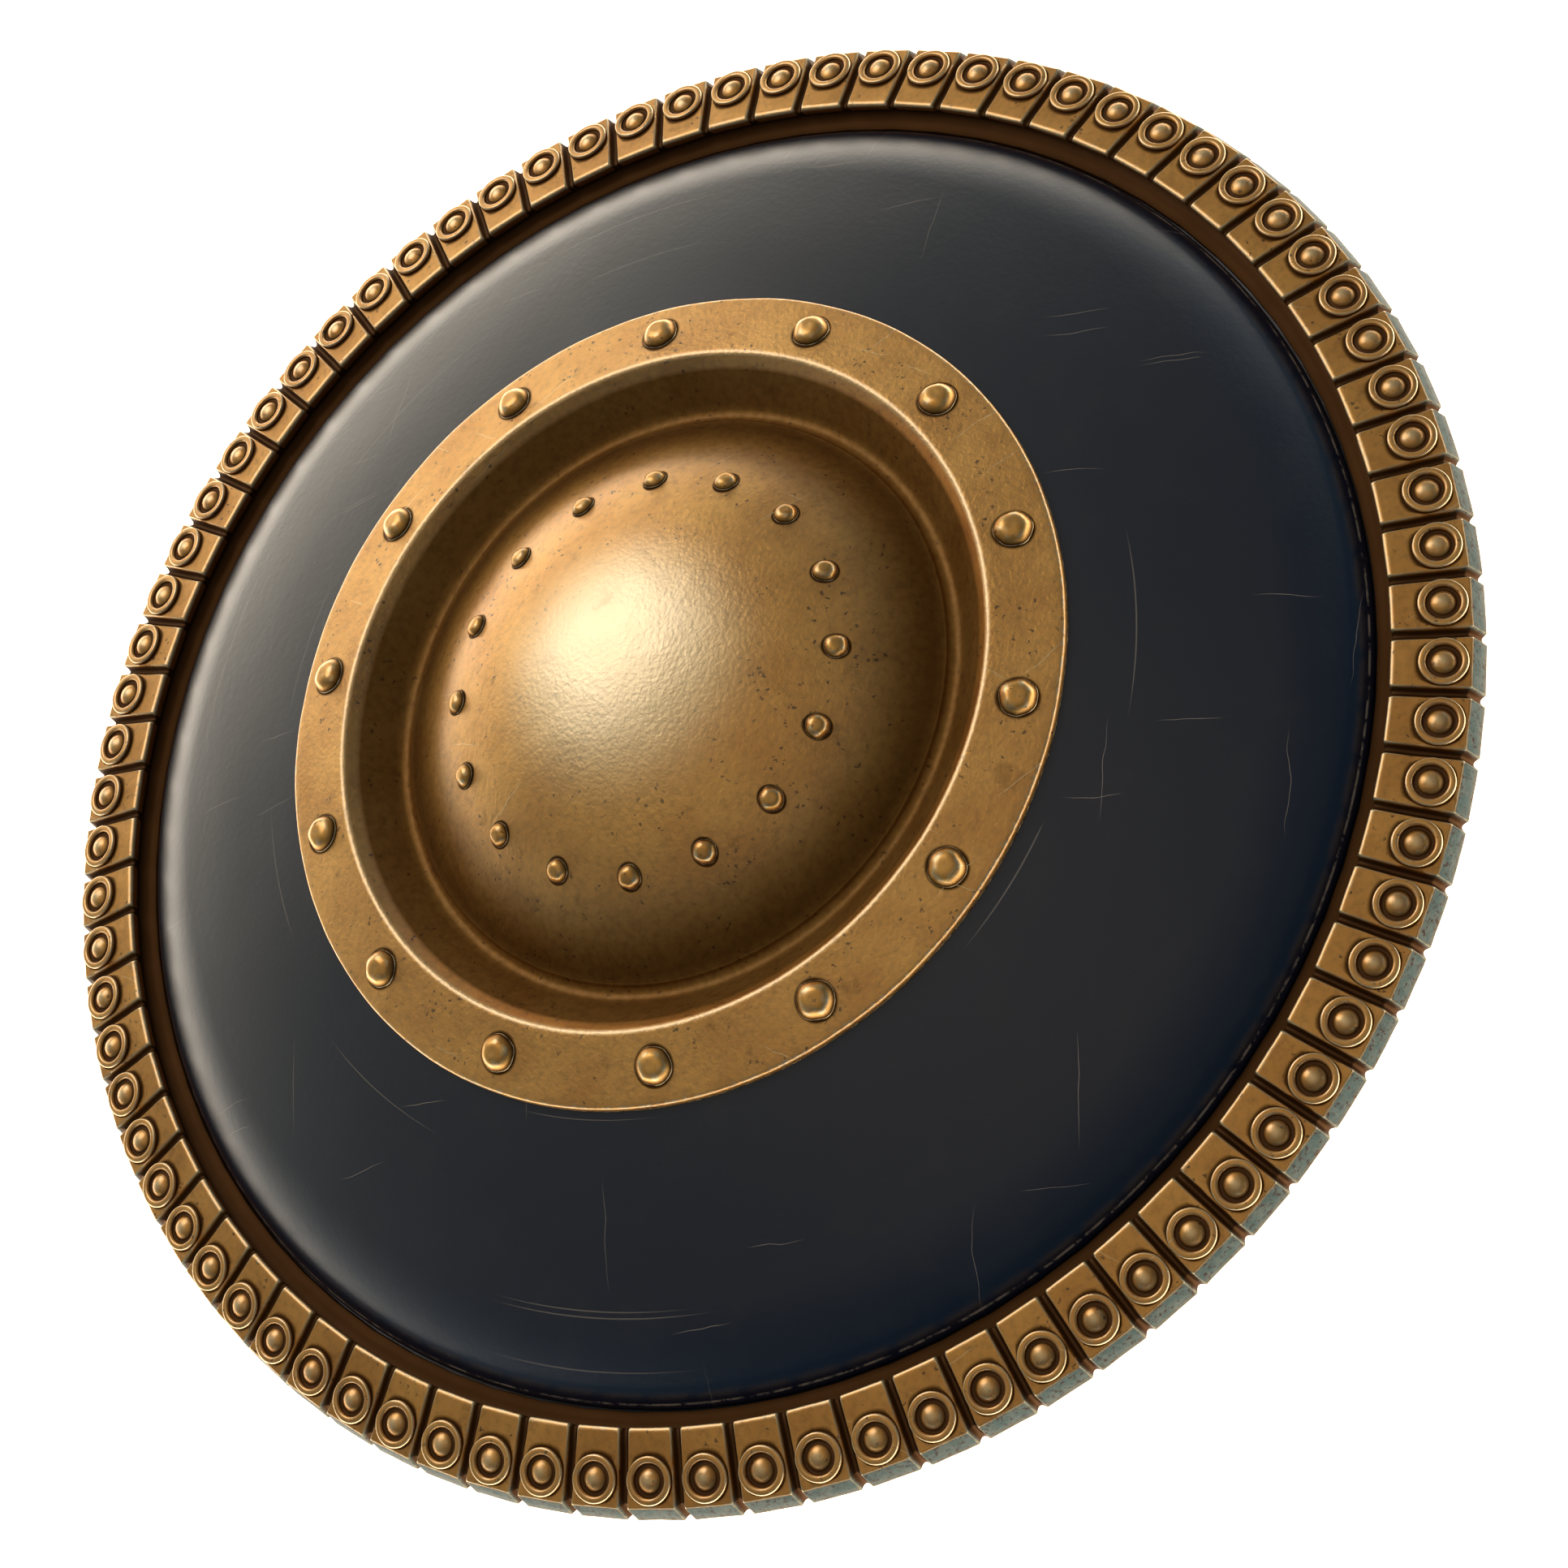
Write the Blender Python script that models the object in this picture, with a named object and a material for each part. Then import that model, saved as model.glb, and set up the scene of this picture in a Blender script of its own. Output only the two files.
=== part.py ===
"""Round shield: a cast bronze rim of studded blocks, a dished dark body and a domed bronze boss.

Metres, +Z up. The shield lies on the back of its rim with its face up. The origin is the middle
of the plane that the rim lies on. The grip on the back runs along X. Angles start at +X.
"""

import math

import bmesh
import bpy
from mathutils import Matrix, Vector

# Rim: a ring of equal blocks, whose tops fall away outwards
RIM_RADIUS = 0.3000
RIM_TILT = math.radians(13.4)
RIM_EDGE_HEIGHT = 0.0096
BLOCK_COUNT = 80
BLOCK_LENGTH = 0.0300
CREST_ROUND = 0.0026
GROOVE_WIDTH = 0.0042
GROOVE_DEPTH = 0.0030
GROOVE_SIDE_DEPTH = 0.0020
LEDGE_HEIGHT = 0.0087
LEDGE_WIDTH = 0.0084
LEDGE_THICKNESS = 0.0030
FOOT_WIDTH = 0.0080

# Ring-and-dot stud, which fills the outer end of each block; shares are of the stud's radius
STUD_EDGE_MARGIN = 0.0004
STUD_SIDE_MARGIN = 0.0001
RING_CREST_SHARE = 0.86
RING_HEIGHT = 0.0021
VALLEY_SHARE = 0.56
VALLEY_HEIGHT = 0.0005
DOT_HEIGHT = 0.0026
STUD_QUARTER_SIDES = 2
STUD_SIDES = 4 * STUD_QUARTER_SIDES

# Body: a dished sheet, steep at its edge and nearly a cone under the boss
BODY_WALL = 0.0016
EDGE_BEND_RUN = 0.0052
SHOULDER_RUN = 0.0250
EDGE_SLOPE = math.radians(62.0)
SHOULDER_SLOPE = math.radians(43.0)
CROWN_SLOPE = math.radians(22.5)
SEAT_SLOPE = math.radians(16.6)

# Boss: a conical flange, a wall down to a trough and a dome that rises from it
BOSS_RADIUS = 0.1627
FLANGE_WIDTH = 0.0270
FLANGE_THICKNESS = 0.0030
RIDGE_ROUND = 0.0018
BOSS_WALL = 0.0020
TROUGH_DEPTH = 0.0183
TROUGH_RUN = 0.0187
DOME_HEIGHT = 0.0454
DOME_RINGS = 3

# Rivet heads; the shares are of a head's radius and of its height
FLANGE_RIVET_COUNT = 14
FLANGE_HEAD_RADIUS = 0.0073
FLANGE_HEAD_HEIGHT = 0.0038
DOME_RIVET_COUNT = 16
DOME_RIVET_CIRCLE = 0.0798
DOME_HEAD_RADIUS = 0.0047
DOME_HEAD_HEIGHT = 0.0027
HEAD_SHOULDER_SHARE = 0.80
HEAD_SHOULDER_RISE = 0.62
HEAD_SIDES = 8

# Grip: a bar bowed clear of the boss, its ends flat against the back of the body
GRIP_WIDTH = 0.0200
GRIP_THICKNESS = 0.0040
GRIP_CORNER_SHARE = 0.25
HAND_LENGTH = 0.1100
HAND_WIDTH = 0.0240
HAND_THICKNESS = 0.0160
PAD_LENGTH = 0.0200
GRIP_BEND = 0.0050

# Fits: gaps between pieces that lie together, and the clear way around the boss's back
SEAT_GAP = 0.0003
EDGE_GAP = 0.0008
SEAT_SETBACK = 0.0035
GRIP_CLEARANCE = 0.0060

# Fineness of the round pieces and of their shading
TURN_STEPS = 36
BEND_STEPS = 1
ARC_STEPS = 2
MERGE_DISTANCE = 0.000001
SHARP_ANGLE = math.radians(30.0)
HEAD_SHARP_ANGLE = math.radians(80.0)

BRONZE = ("bronze", (0.36, 0.21, 0.07, 1.0), 0.38, 1.0)
DARK_PAINT = ("dark paint", (0.035, 0.037, 0.040, 1.0), 0.35, 0.6)
RIVET_BRONZE = ("rivet bronze", (0.33, 0.21, 0.09, 1.0), 0.34, 1.0)
GRIP_IRON = ("grip iron", (0.045, 0.040, 0.036, 1.0), 0.50, 0.9)

# Corners of the rim's section that end at the grooves; the others run on to the next block
BLOCK_CORNERS = ("outer_foot", "top_edge", "round_start", "round_end")

# Faces of the rim that run straight across a block from one corner of the section to another
RIM_FACES = (
    ("outer_foot", "top_edge"),
    ("round_start", "round_end"),
    ("groove_end", "wall_foot"),
    ("wall_foot", "ledge_top"),
    ("ledge_top", "ledge_under"),
    ("ledge_under", "channel_top"),
    ("channel_top", "channel_foot"),
)


def clear_scene():
    """Start from an empty file without closing it."""
    for item in list(bpy.data.objects):
        bpy.data.objects.remove(item, do_unlink=True)


def metal(name, colour, roughness, metallic):
    """Principled material of one plain finish."""
    material = bpy.data.materials.new(name)
    material.use_nodes = True
    shader = material.node_tree.nodes["Principled BSDF"]
    shader.inputs["Base Color"].default_value = colour
    shader.inputs["Roughness"].default_value = roughness
    shader.inputs["Metallic"].default_value = metallic
    return material


def finish_mesh(shape, name, material, sharp_angle=SHARP_ANGLE):
    """Close the shape's seams, turn its faces outwards and make a mesh of it."""
    bmesh.ops.remove_doubles(shape, verts=shape.verts, dist=MERGE_DISTANCE)
    bmesh.ops.recalc_face_normals(shape, faces=shape.faces)
    mesh = bpy.data.meshes.new(name)
    shape.to_mesh(mesh)
    shape.free()
    mesh.materials.append(material)
    mesh.shade_smooth()
    mesh.set_sharp_from_angle(angle=sharp_angle)
    return mesh


def place(name, mesh):
    """Put a mesh into the scene as a named piece."""
    piece = bpy.data.objects.new(name, mesh)
    bpy.context.scene.collection.objects.link(piece)
    return piece


def join_rings(shape, lower, upper):
    """Faces between two rings of as many vertices."""
    count = len(lower)
    for step in range(count):
        following = (step + 1) % count
        shape.faces.new((lower[step], lower[following], upper[following], upper[step]))


def close_with_tip(shape, ring, tip):
    """A fan from a ring to one vertex."""
    count = len(ring)
    for step in range(count):
        shape.faces.new((ring[step], ring[(step + 1) % count], tip))


def turned(name, section, material):
    """A piece turned about Z from a closed section, given as (radius, height) points."""
    shape = bmesh.new()
    corners = [shape.verts.new((radius, 0.0, height)) for radius, height in section]
    for corner, following in zip(corners, corners[1:] + corners[:1]):
        # A side that lies on the axis sweeps no face
        if corner.co.x > 0.0 or following.co.x > 0.0:
            shape.edges.new((corner, following))
    bmesh.ops.spin(shape, geom=shape.verts[:] + shape.edges[:], cent=(0.0, 0.0, 0.0),
                   axis=(0.0, 0.0, 1.0), angle=2.0 * math.pi, steps=TURN_STEPS, use_merge=True)
    bmesh.ops.dissolve_degenerate(shape, edges=shape.edges, dist=MERGE_DISTANCE)
    place(name, finish_mesh(shape, name, material))


def along_block(top_edge, distance):
    """The point on a block's top at a distance inwards from its outer edge."""
    return (top_edge[0] - distance * math.cos(RIM_TILT), top_edge[1] + distance * math.sin(RIM_TILT))


def below_block(point, depth):
    """The point at a depth under a point of a block's top, square to it."""
    return (point[0] - depth * math.sin(RIM_TILT), point[1] - depth * math.cos(RIM_TILT))


def down_wall(point, distance):
    """The point at a distance down a wall, which leans inwards as much as the tops fall outwards."""
    return (point[0] + distance * math.sin(RIM_TILT), point[1] - distance * math.cos(RIM_TILT))


def rim_section():
    """Named corners of the rim's section as (radius, height), along a block and along a groove."""
    lean = math.tan(RIM_TILT)
    top_edge = (RIM_RADIUS - RIM_EDGE_HEIGHT * lean, RIM_EDGE_HEIGHT)
    inner_corner = along_block(top_edge, BLOCK_LENGTH)
    foot_radius = inner_corner[0] + (inner_corner[1] - LEDGE_HEIGHT) * lean
    ceiling = LEDGE_HEIGHT - LEDGE_THICKNESS
    return {
        "outer_foot": (RIM_RADIUS, 0.0),
        "top_edge": top_edge,
        "round_start": along_block(top_edge, BLOCK_LENGTH - CREST_ROUND),
        "round_end": down_wall(inner_corner, CREST_ROUND),
        "wall_foot": (foot_radius, LEDGE_HEIGHT),
        "ledge_top": (foot_radius - LEDGE_WIDTH, LEDGE_HEIGHT),
        "ledge_under": (foot_radius - LEDGE_WIDTH, ceiling),
        "channel_top": (RIM_RADIUS - FOOT_WIDTH, ceiling),
        "channel_foot": (RIM_RADIUS - FOOT_WIDTH, 0.0),
        "groove_foot": (RIM_RADIUS - GROOVE_SIDE_DEPTH, 0.0),
        "groove_edge": below_block(along_block(top_edge, GROOVE_SIDE_DEPTH), GROOVE_DEPTH),
        "groove_end": down_wall(inner_corner, GROOVE_DEPTH),
    }


def groove_side(radius):
    """Half the pitch of the blocks at a radius, where the middle of the groove runs."""
    return radius * math.tan(math.pi / BLOCK_COUNT)


def block_side(radius):
    """Half the width of a block at a radius, between grooves of one width."""
    return groove_side(radius) - 0.5 * GROOVE_WIDTH / math.cos(math.pi / BLOCK_COUNT)


def stud_seat():
    """Middle of a stud as (radius, height) on the block's top, and the stud's radius."""
    top_edge = rim_section()["top_edge"]
    centre = along_block(top_edge, block_side(top_edge[0]) + STUD_EDGE_MARGIN)
    return centre, block_side(centre[0]) - STUD_SIDE_MARGIN


def slope_arc(start, first_slope, last_slope, run, chords):
    """An arc inwards from start while its slope eases, as ((radius, height), slope) after each chord."""
    bend_radius = run / (math.sin(first_slope) - math.sin(last_slope))
    steps = []
    for chord in range(1, chords + 1):
        slope = first_slope + (last_slope - first_slope) * chord / chords
        inward = bend_radius * (math.sin(first_slope) - math.sin(slope))
        rise = bend_radius * (math.cos(slope) - math.cos(first_slope))
        steps.append(((start[0] - inward, start[1] + rise), slope))
    return steps


def offset_down(point, slope, distance):
    """A point at a distance under a surface that falls outwards at slope, square to it."""
    return (point[0] - distance * math.sin(slope), point[1] - distance * math.cos(slope))


def body_line(depth):
    """The body from its bend to the boss at a depth under its face, as (radius, height) points."""
    wall_radius = rim_section()["ledge_under"][0] - EDGE_GAP
    crown_run = wall_radius - EDGE_BEND_RUN - SHOULDER_RUN - BOSS_RADIUS
    arcs = (
        (EDGE_SLOPE, SHOULDER_SLOPE, EDGE_BEND_RUN, BEND_STEPS),
        (SHOULDER_SLOPE, CROWN_SLOPE, SHOULDER_RUN, ARC_STEPS),
        (CROWN_SLOPE, SEAT_SLOPE, crown_run, ARC_STEPS),
    )
    spot = (wall_radius, LEDGE_HEIGHT)
    line = []
    for first_slope, last_slope, run, chords in arcs:
        steps = slope_arc(spot, first_slope, last_slope, run, chords)
        line += [offset_down(point, slope, depth) for point, slope in steps]
        spot = steps[-1][0]
    return line


def seat_height(radius):
    """Height of the body's conical seat, on its face, at a radius under the boss's flange."""
    edge = body_line(0.0)[-1]
    return edge[1] + (edge[0] - radius) * math.tan(SEAT_SLOPE)


def rivet_circle_radius():
    """Radius of the flange rivets' circle, along the middle of the flange."""
    return BOSS_RADIUS - 0.5 * FLANGE_WIDTH


def boss_levels():
    """Flange edge, ridge, trough and apex of the boss's face as (radius, height)."""
    lift = (SEAT_GAP + FLANGE_THICKNESS) / math.cos(SEAT_SLOPE)
    edge = (BOSS_RADIUS, seat_height(BOSS_RADIUS) + lift)
    ridge = (BOSS_RADIUS - FLANGE_WIDTH, edge[1] + FLANGE_WIDTH * math.tan(SEAT_SLOPE))
    trough = (ridge[0] - TROUGH_RUN, ridge[1] - TROUGH_DEPTH)
    return edge, ridge, trough, (0.0, trough[1] + DOME_HEIGHT)


def wall_slope():
    """Slope of the boss's wall, which falls inwards from the ridge to the trough."""
    return math.atan2(TROUGH_DEPTH, TROUGH_RUN)


def trough_back():
    """The lowest point of the boss's back, under its trough."""
    trough = boss_levels()[2]
    return (trough[0], trough[1] - BOSS_WALL / math.cos(wall_slope()))


def dome_radius():
    """Radius of the sphere that the dome's face is cut from."""
    trough = boss_levels()[2]
    return (trough[0] ** 2 + DOME_HEIGHT ** 2) / (2.0 * DOME_HEIGHT)


def dome_height(radius, thickness):
    """Height of the dome at a radius, on its face or a thickness below it."""
    ball = dome_radius()
    centre = boss_levels()[3][1] - ball
    return centre + math.sqrt((ball - thickness) ** 2 - radius ** 2)


def pair(shape, spot, side):
    """The two mirrored vertices of a section corner, a side's width off the middle of the block."""
    return [shape.verts.new((spot[0], sign * side, spot[1])) for sign in (-1.0, 1.0)]


def strip(shape, first, second):
    """A face across the block between two vertex pairs."""
    shape.faces.new((first[0], first[1], second[1], second[0]))


def stud_ring(shape, share, lift):
    """One ring of stud vertices at a share of its radius and a lift off the tilted block."""
    centre, stud_radius = stud_seat()
    inward = Vector((-math.cos(RIM_TILT), 0.0, math.sin(RIM_TILT)))
    across = Vector((0.0, 1.0, 0.0))
    normal = Vector((math.sin(RIM_TILT), 0.0, math.cos(RIM_TILT)))
    middle = Vector((centre[0], 0.0, centre[1])) + normal * lift
    ring = []
    for step in range(STUD_SIDES):
        angle = (step + 0.5) * 2.0 * math.pi / STUD_SIDES
        direction = inward * math.cos(angle) + across * math.sin(angle)
        ring.append(shape.verts.new(middle + direction * (share * stud_radius)))
    return ring


def block_top(shape, outer, inner):
    """The block's top between its outer and inner edge, with its ring and dot."""
    foot = stud_ring(shape, 1.0, 0.0)
    crest = stud_ring(shape, RING_CREST_SHARE, RING_HEIGHT)
    valley = stud_ring(shape, VALLEY_SHARE, VALLEY_HEIGHT)
    tip = stud_ring(shape, 0.0, DOT_HEIGHT)
    join_rings(shape, foot, crest)
    join_rings(shape, crest, valley)
    bmesh.ops.pointmerge(shape, verts=tip, merge_co=tip[0].co)
    close_with_tip(shape, valley, tip[0])
    # The stud's foot runs from the inner edge's side over +Y to the outer edge
    corners = (inner[1], outer[1], outer[0], inner[0])
    for turn, corner in enumerate(corners):
        following = corners[(turn + 1) % len(corners)]
        first = turn * STUD_QUARTER_SIDES
        fan = foot[first:first + STUD_QUARTER_SIDES]
        for near, far in zip(fan, fan[1:]):
            shape.faces.new((corner, near, far))
        shape.faces.new((corner, fan[-1], foot[(first + STUD_QUARTER_SIDES) % STUD_SIDES], following))


def rim_sector():
    """One block with half a groove at each side, and the ledge and channel behind it."""
    shape = bmesh.new()
    corner = {}
    for name, spot in rim_section().items():
        side_at = block_side if name in BLOCK_CORNERS else groove_side
        corner[name] = pair(shape, spot, side_at(spot[0]))
    for first, second in RIM_FACES:
        strip(shape, corner[first], corner[second])
    block_top(shape, corner["top_edge"], corner["round_start"])
    for side in (0, 1):
        foot, edge = corner["groove_foot"][side], corner["groove_edge"][side]
        end, start = corner["groove_end"][side], corner["round_start"][side]
        shape.faces.new((foot, corner["outer_foot"][side], corner["top_edge"][side], edge))
        shape.faces.new((edge, corner["top_edge"][side], start, end))
        shape.faces.new((end, start, corner["round_end"][side]))
    strip(shape, corner["groove_end"], corner["round_end"])
    shape.faces.new(corner["channel_foot"] + [corner["groove_foot"][1]] + corner["outer_foot"][::-1]
                    + [corner["groove_foot"][0]])
    return shape


def build_rim(material):
    """All the rim's blocks as one casting."""
    pitch = 2.0 * math.pi / BLOCK_COUNT
    shape = rim_sector()
    bmesh.ops.rotate(shape, verts=shape.verts, matrix=Matrix.Rotation(0.5 * pitch, 3, "Z"))
    bmesh.ops.spin(shape, geom=shape.verts[:] + shape.edges[:] + shape.faces[:],
                   cent=(0.0, 0.0, 0.0), axis=(0.0, 0.0, 1.0),
                   angle=2.0 * math.pi - pitch, steps=BLOCK_COUNT - 1, use_duplicate=True)
    place("rim", finish_mesh(shape, "rim", material))


def build_body(material):
    """The dished sheet, its edge held in the rim's channel."""
    section = rim_section()
    edge_radius = section["channel_top"][0] - EDGE_GAP
    edge_top = section["channel_top"][1] - SEAT_GAP
    wall_radius = section["ledge_under"][0] - EDGE_GAP
    hole_radius = boss_levels()[1][0] + SEAT_SETBACK
    hole_top = (hole_radius, seat_height(hole_radius))
    outline = [(edge_radius, edge_top - BODY_WALL), (edge_radius, edge_top)]
    outline += [(wall_radius, edge_top), (wall_radius, LEDGE_HEIGHT)]
    outline += body_line(0.0) + [hole_top, offset_down(hole_top, SEAT_SLOPE, BODY_WALL)]
    outline += body_line(BODY_WALL)[::-1] + [(wall_radius - BODY_WALL, edge_top - BODY_WALL)]
    turned("body", outline, material)


def lines_meet(first, first_rise, second, second_rise):
    """Where two lines of a section cross; each has a point and its rise for each metre outwards."""
    gap = second[1] - first[1] + first_rise * first[0] - second_rise * second[0]
    radius = gap / (first_rise - second_rise)
    return (radius, first[1] + first_rise * (radius - first[0]))


def build_boss(material):
    """Flange, wall, trough and dome as one raised sheet."""
    edge, ridge, trough, apex = boss_levels()
    wall = wall_slope()
    ridge_start = (ridge[0] + RIDGE_ROUND * math.cos(SEAT_SLOPE),
                   ridge[1] - RIDGE_ROUND * math.sin(SEAT_SLOPE))
    ridge_end = (ridge[0] - RIDGE_ROUND * math.cos(wall), ridge[1] - RIDGE_ROUND * math.sin(wall))
    inner_radii = [DOME_RIVET_CIRCLE * (1.0 - ring / DOME_RINGS) for ring in range(1, DOME_RINGS)]
    outer_radius = 0.5 * (trough[0] + DOME_RIVET_CIRCLE)
    face_radii = [outer_radius, DOME_RIVET_CIRCLE] + inner_radii
    back_radii = [outer_radius] + inner_radii
    flange_back = (edge[0], edge[1] - FLANGE_THICKNESS / math.cos(SEAT_SLOPE))
    ridge_back = lines_meet(flange_back, -math.tan(SEAT_SLOPE), trough_back(), math.tan(wall))
    outline = [flange_back, edge, ridge_start, ridge_end, trough]
    outline += [(radius, dome_height(radius, 0.0)) for radius in face_radii] + [apex]
    outline += [(0.0, apex[1] - BOSS_WALL)]
    outline += [(radius, dome_height(radius, BOSS_WALL)) for radius in back_radii[::-1]]
    outline += [trough_back(), ridge_back]
    turned("boss", outline, material)


def head_mesh(name, radius, height, material):
    """Domed rivet head that stands on its flat underside at the origin."""
    shape = bmesh.new()
    rings = []
    for share, rise in ((1.0, 0.0), (HEAD_SHOULDER_SHARE, HEAD_SHOULDER_RISE)):
        ring = []
        for step in range(HEAD_SIDES):
            angle = 2.0 * math.pi * step / HEAD_SIDES
            spot = (radius * share * math.cos(angle), radius * share * math.sin(angle), height * rise)
            ring.append(shape.verts.new(spot))
        rings.append(ring)
    shape.faces.new(rings[0][::-1])
    join_rings(shape, rings[0], rings[1])
    close_with_tip(shape, rings[1], shape.verts.new((0.0, 0.0, height)))
    return finish_mesh(shape, name, material, HEAD_SHARP_ANGLE)


def rivet_ring(prefix, count, seat, slope, mesh):
    """Equal rivet heads around a seat at (radius, height), square to a face that falls at slope."""
    for index in range(count):
        turn = Matrix.Rotation(2.0 * math.pi * index / count, 4, "Z")
        stand = Matrix.Translation((seat[0], 0.0, seat[1])) @ Matrix.Rotation(slope, 4, "Y")
        piece = place(f"{prefix}_{index + 1:02d}", mesh)
        piece.matrix_world = turn @ stand @ Matrix.Translation((0.0, 0.0, SEAT_GAP))


def build_rivets(material):
    """The heads around the boss's flange and around its dome."""
    edge = boss_levels()[0]
    circle = rivet_circle_radius()
    seat = (circle, edge[1] + (edge[0] - circle) * math.tan(SEAT_SLOPE))
    large = head_mesh("flange_rivet", FLANGE_HEAD_RADIUS, FLANGE_HEAD_HEIGHT, material)
    rivet_ring("flange_rivet", FLANGE_RIVET_COUNT, seat, SEAT_SLOPE, large)
    seat = (DOME_RIVET_CIRCLE, dome_height(DOME_RIVET_CIRCLE, 0.0))
    slope = math.asin(DOME_RIVET_CIRCLE / dome_radius())
    small = head_mesh("dome_rivet", DOME_HEAD_RADIUS, DOME_HEAD_HEIGHT, material)
    rivet_ring("dome_rivet", DOME_RIVET_COUNT, seat, slope, small)


def eased_corner(before, corner, after):
    """Two points that cut the corner off a bent line, a bend's length away on either side."""
    return [corner + (end - corner).normalized() * GRIP_BEND for end in (before, after)]


def grip_stations():
    """Half the grip from its outer end to its middle, as (point, width, thickness)."""
    pad_radius = rivet_circle_radius()
    # A flat pad under a facetted cone touches it first at its corners
    corner_drop = 0.5 * GRIP_WIDTH * math.tan(math.pi / TURN_STEPS) * math.sin(SEAT_SLOPE)
    depth = BODY_WALL + SEAT_GAP + corner_drop + 0.5 * GRIP_THICKNESS
    pad_middle = Vector((pad_radius, 0.0, seat_height(pad_radius) - depth / math.cos(SEAT_SLOPE)))
    half_pad = Vector((math.cos(SEAT_SLOPE), 0.0, -math.sin(SEAT_SLOPE))) * (0.5 * PAD_LENGTH)
    pad_end, pad_corner = pad_middle + half_pad, pad_middle - half_pad
    lowest = trough_back()
    bridge = lowest[1] - GRIP_CLEARANCE - 0.5 * GRIP_THICKNESS
    knee = Vector((0.5 * (lowest[0] + pad_radius), 0.0, bridge))
    hand_end = Vector((0.5 * HAND_LENGTH, 0.0, bridge))
    bar = [pad_end] + eased_corner(pad_end, pad_corner, knee) + eased_corner(pad_corner, knee, hand_end)
    hand = [hand_end, Vector((0.0, 0.0, bridge))]
    return ([(spot, GRIP_WIDTH, GRIP_THICKNESS) for spot in bar]
            + [(spot, HAND_WIDTH, HAND_THICKNESS) for spot in hand])


def grip_outline(width, thickness):
    """Points around the bar as (across, upward), a rectangle with its corners cut."""
    side, rise, corner = 0.5 * width, 0.5 * thickness, GRIP_CORNER_SHARE * thickness
    quarter = [(side, rise - corner), (side - corner, rise)]
    upper = quarter + [(-across, upward) for across, upward in quarter[::-1]]
    return upper + [(across, -upward) for across, upward in upper[::-1]]


def build_grip(material):
    """The bowed bar across the back of the boss."""
    half = grip_stations()
    mirrored = [(Vector((-spot.x, 0.0, spot.z)), width, thickness) for spot, width, thickness in half]
    stations = half + mirrored[-2::-1]
    spots = [station[0] for station in stations]
    across = Vector((0.0, 1.0, 0.0))
    shape = bmesh.new()
    rings = []
    for index, (spot, width, thickness) in enumerate(stations):
        before = (spot - spots[max(index - 1, 0)]).normalized()
        after = (spots[min(index + 1, len(spots) - 1)] - spot).normalized()
        along = (before + after).normalized()
        upward = along.cross(across) / max(along.dot(before), along.dot(after))
        outline = grip_outline(width, thickness)
        rings.append([shape.verts.new(spot + across * side + upward * rise) for side, rise in outline])
    for first, second in zip(rings, rings[1:]):
        join_rings(shape, first, second)
    shape.faces.new(rings[0])
    shape.faces.new(rings[-1])
    place("grip", finish_mesh(shape, "grip", material))


def build_shield():
    """Every piece of the shield."""
    clear_scene()
    bronze = metal(*BRONZE)
    build_rim(bronze)
    build_body(metal(*DARK_PAINT))
    build_boss(bronze)
    build_rivets(metal(*RIVET_BRONZE))
    build_grip(metal(*GRIP_IRON))


build_shield()
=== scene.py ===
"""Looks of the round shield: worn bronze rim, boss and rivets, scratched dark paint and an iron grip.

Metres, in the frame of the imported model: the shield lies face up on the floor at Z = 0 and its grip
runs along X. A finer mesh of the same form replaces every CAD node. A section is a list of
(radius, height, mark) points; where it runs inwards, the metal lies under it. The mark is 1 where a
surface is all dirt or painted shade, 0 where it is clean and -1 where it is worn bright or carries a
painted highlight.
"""

import math

import bmesh
import bpy
import numpy as np
from mathutils import Matrix, Vector, noise


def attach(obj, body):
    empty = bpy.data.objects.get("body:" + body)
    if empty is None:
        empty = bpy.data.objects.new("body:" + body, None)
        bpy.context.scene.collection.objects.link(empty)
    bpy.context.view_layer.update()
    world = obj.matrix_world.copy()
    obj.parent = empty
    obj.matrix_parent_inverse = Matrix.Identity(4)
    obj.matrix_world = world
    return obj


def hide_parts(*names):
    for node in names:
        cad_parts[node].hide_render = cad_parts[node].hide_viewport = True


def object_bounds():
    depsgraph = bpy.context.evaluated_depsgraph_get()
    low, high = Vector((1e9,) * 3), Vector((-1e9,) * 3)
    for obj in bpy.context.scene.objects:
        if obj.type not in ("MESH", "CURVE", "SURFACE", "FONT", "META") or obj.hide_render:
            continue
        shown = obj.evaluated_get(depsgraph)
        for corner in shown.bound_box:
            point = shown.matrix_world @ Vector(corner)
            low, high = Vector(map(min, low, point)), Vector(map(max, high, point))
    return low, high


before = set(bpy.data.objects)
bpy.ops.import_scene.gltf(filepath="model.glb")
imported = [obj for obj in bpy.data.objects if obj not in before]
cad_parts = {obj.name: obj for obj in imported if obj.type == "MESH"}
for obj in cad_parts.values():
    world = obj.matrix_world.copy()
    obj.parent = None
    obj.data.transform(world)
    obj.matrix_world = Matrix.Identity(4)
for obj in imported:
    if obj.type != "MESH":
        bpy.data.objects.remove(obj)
cad_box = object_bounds()

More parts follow.
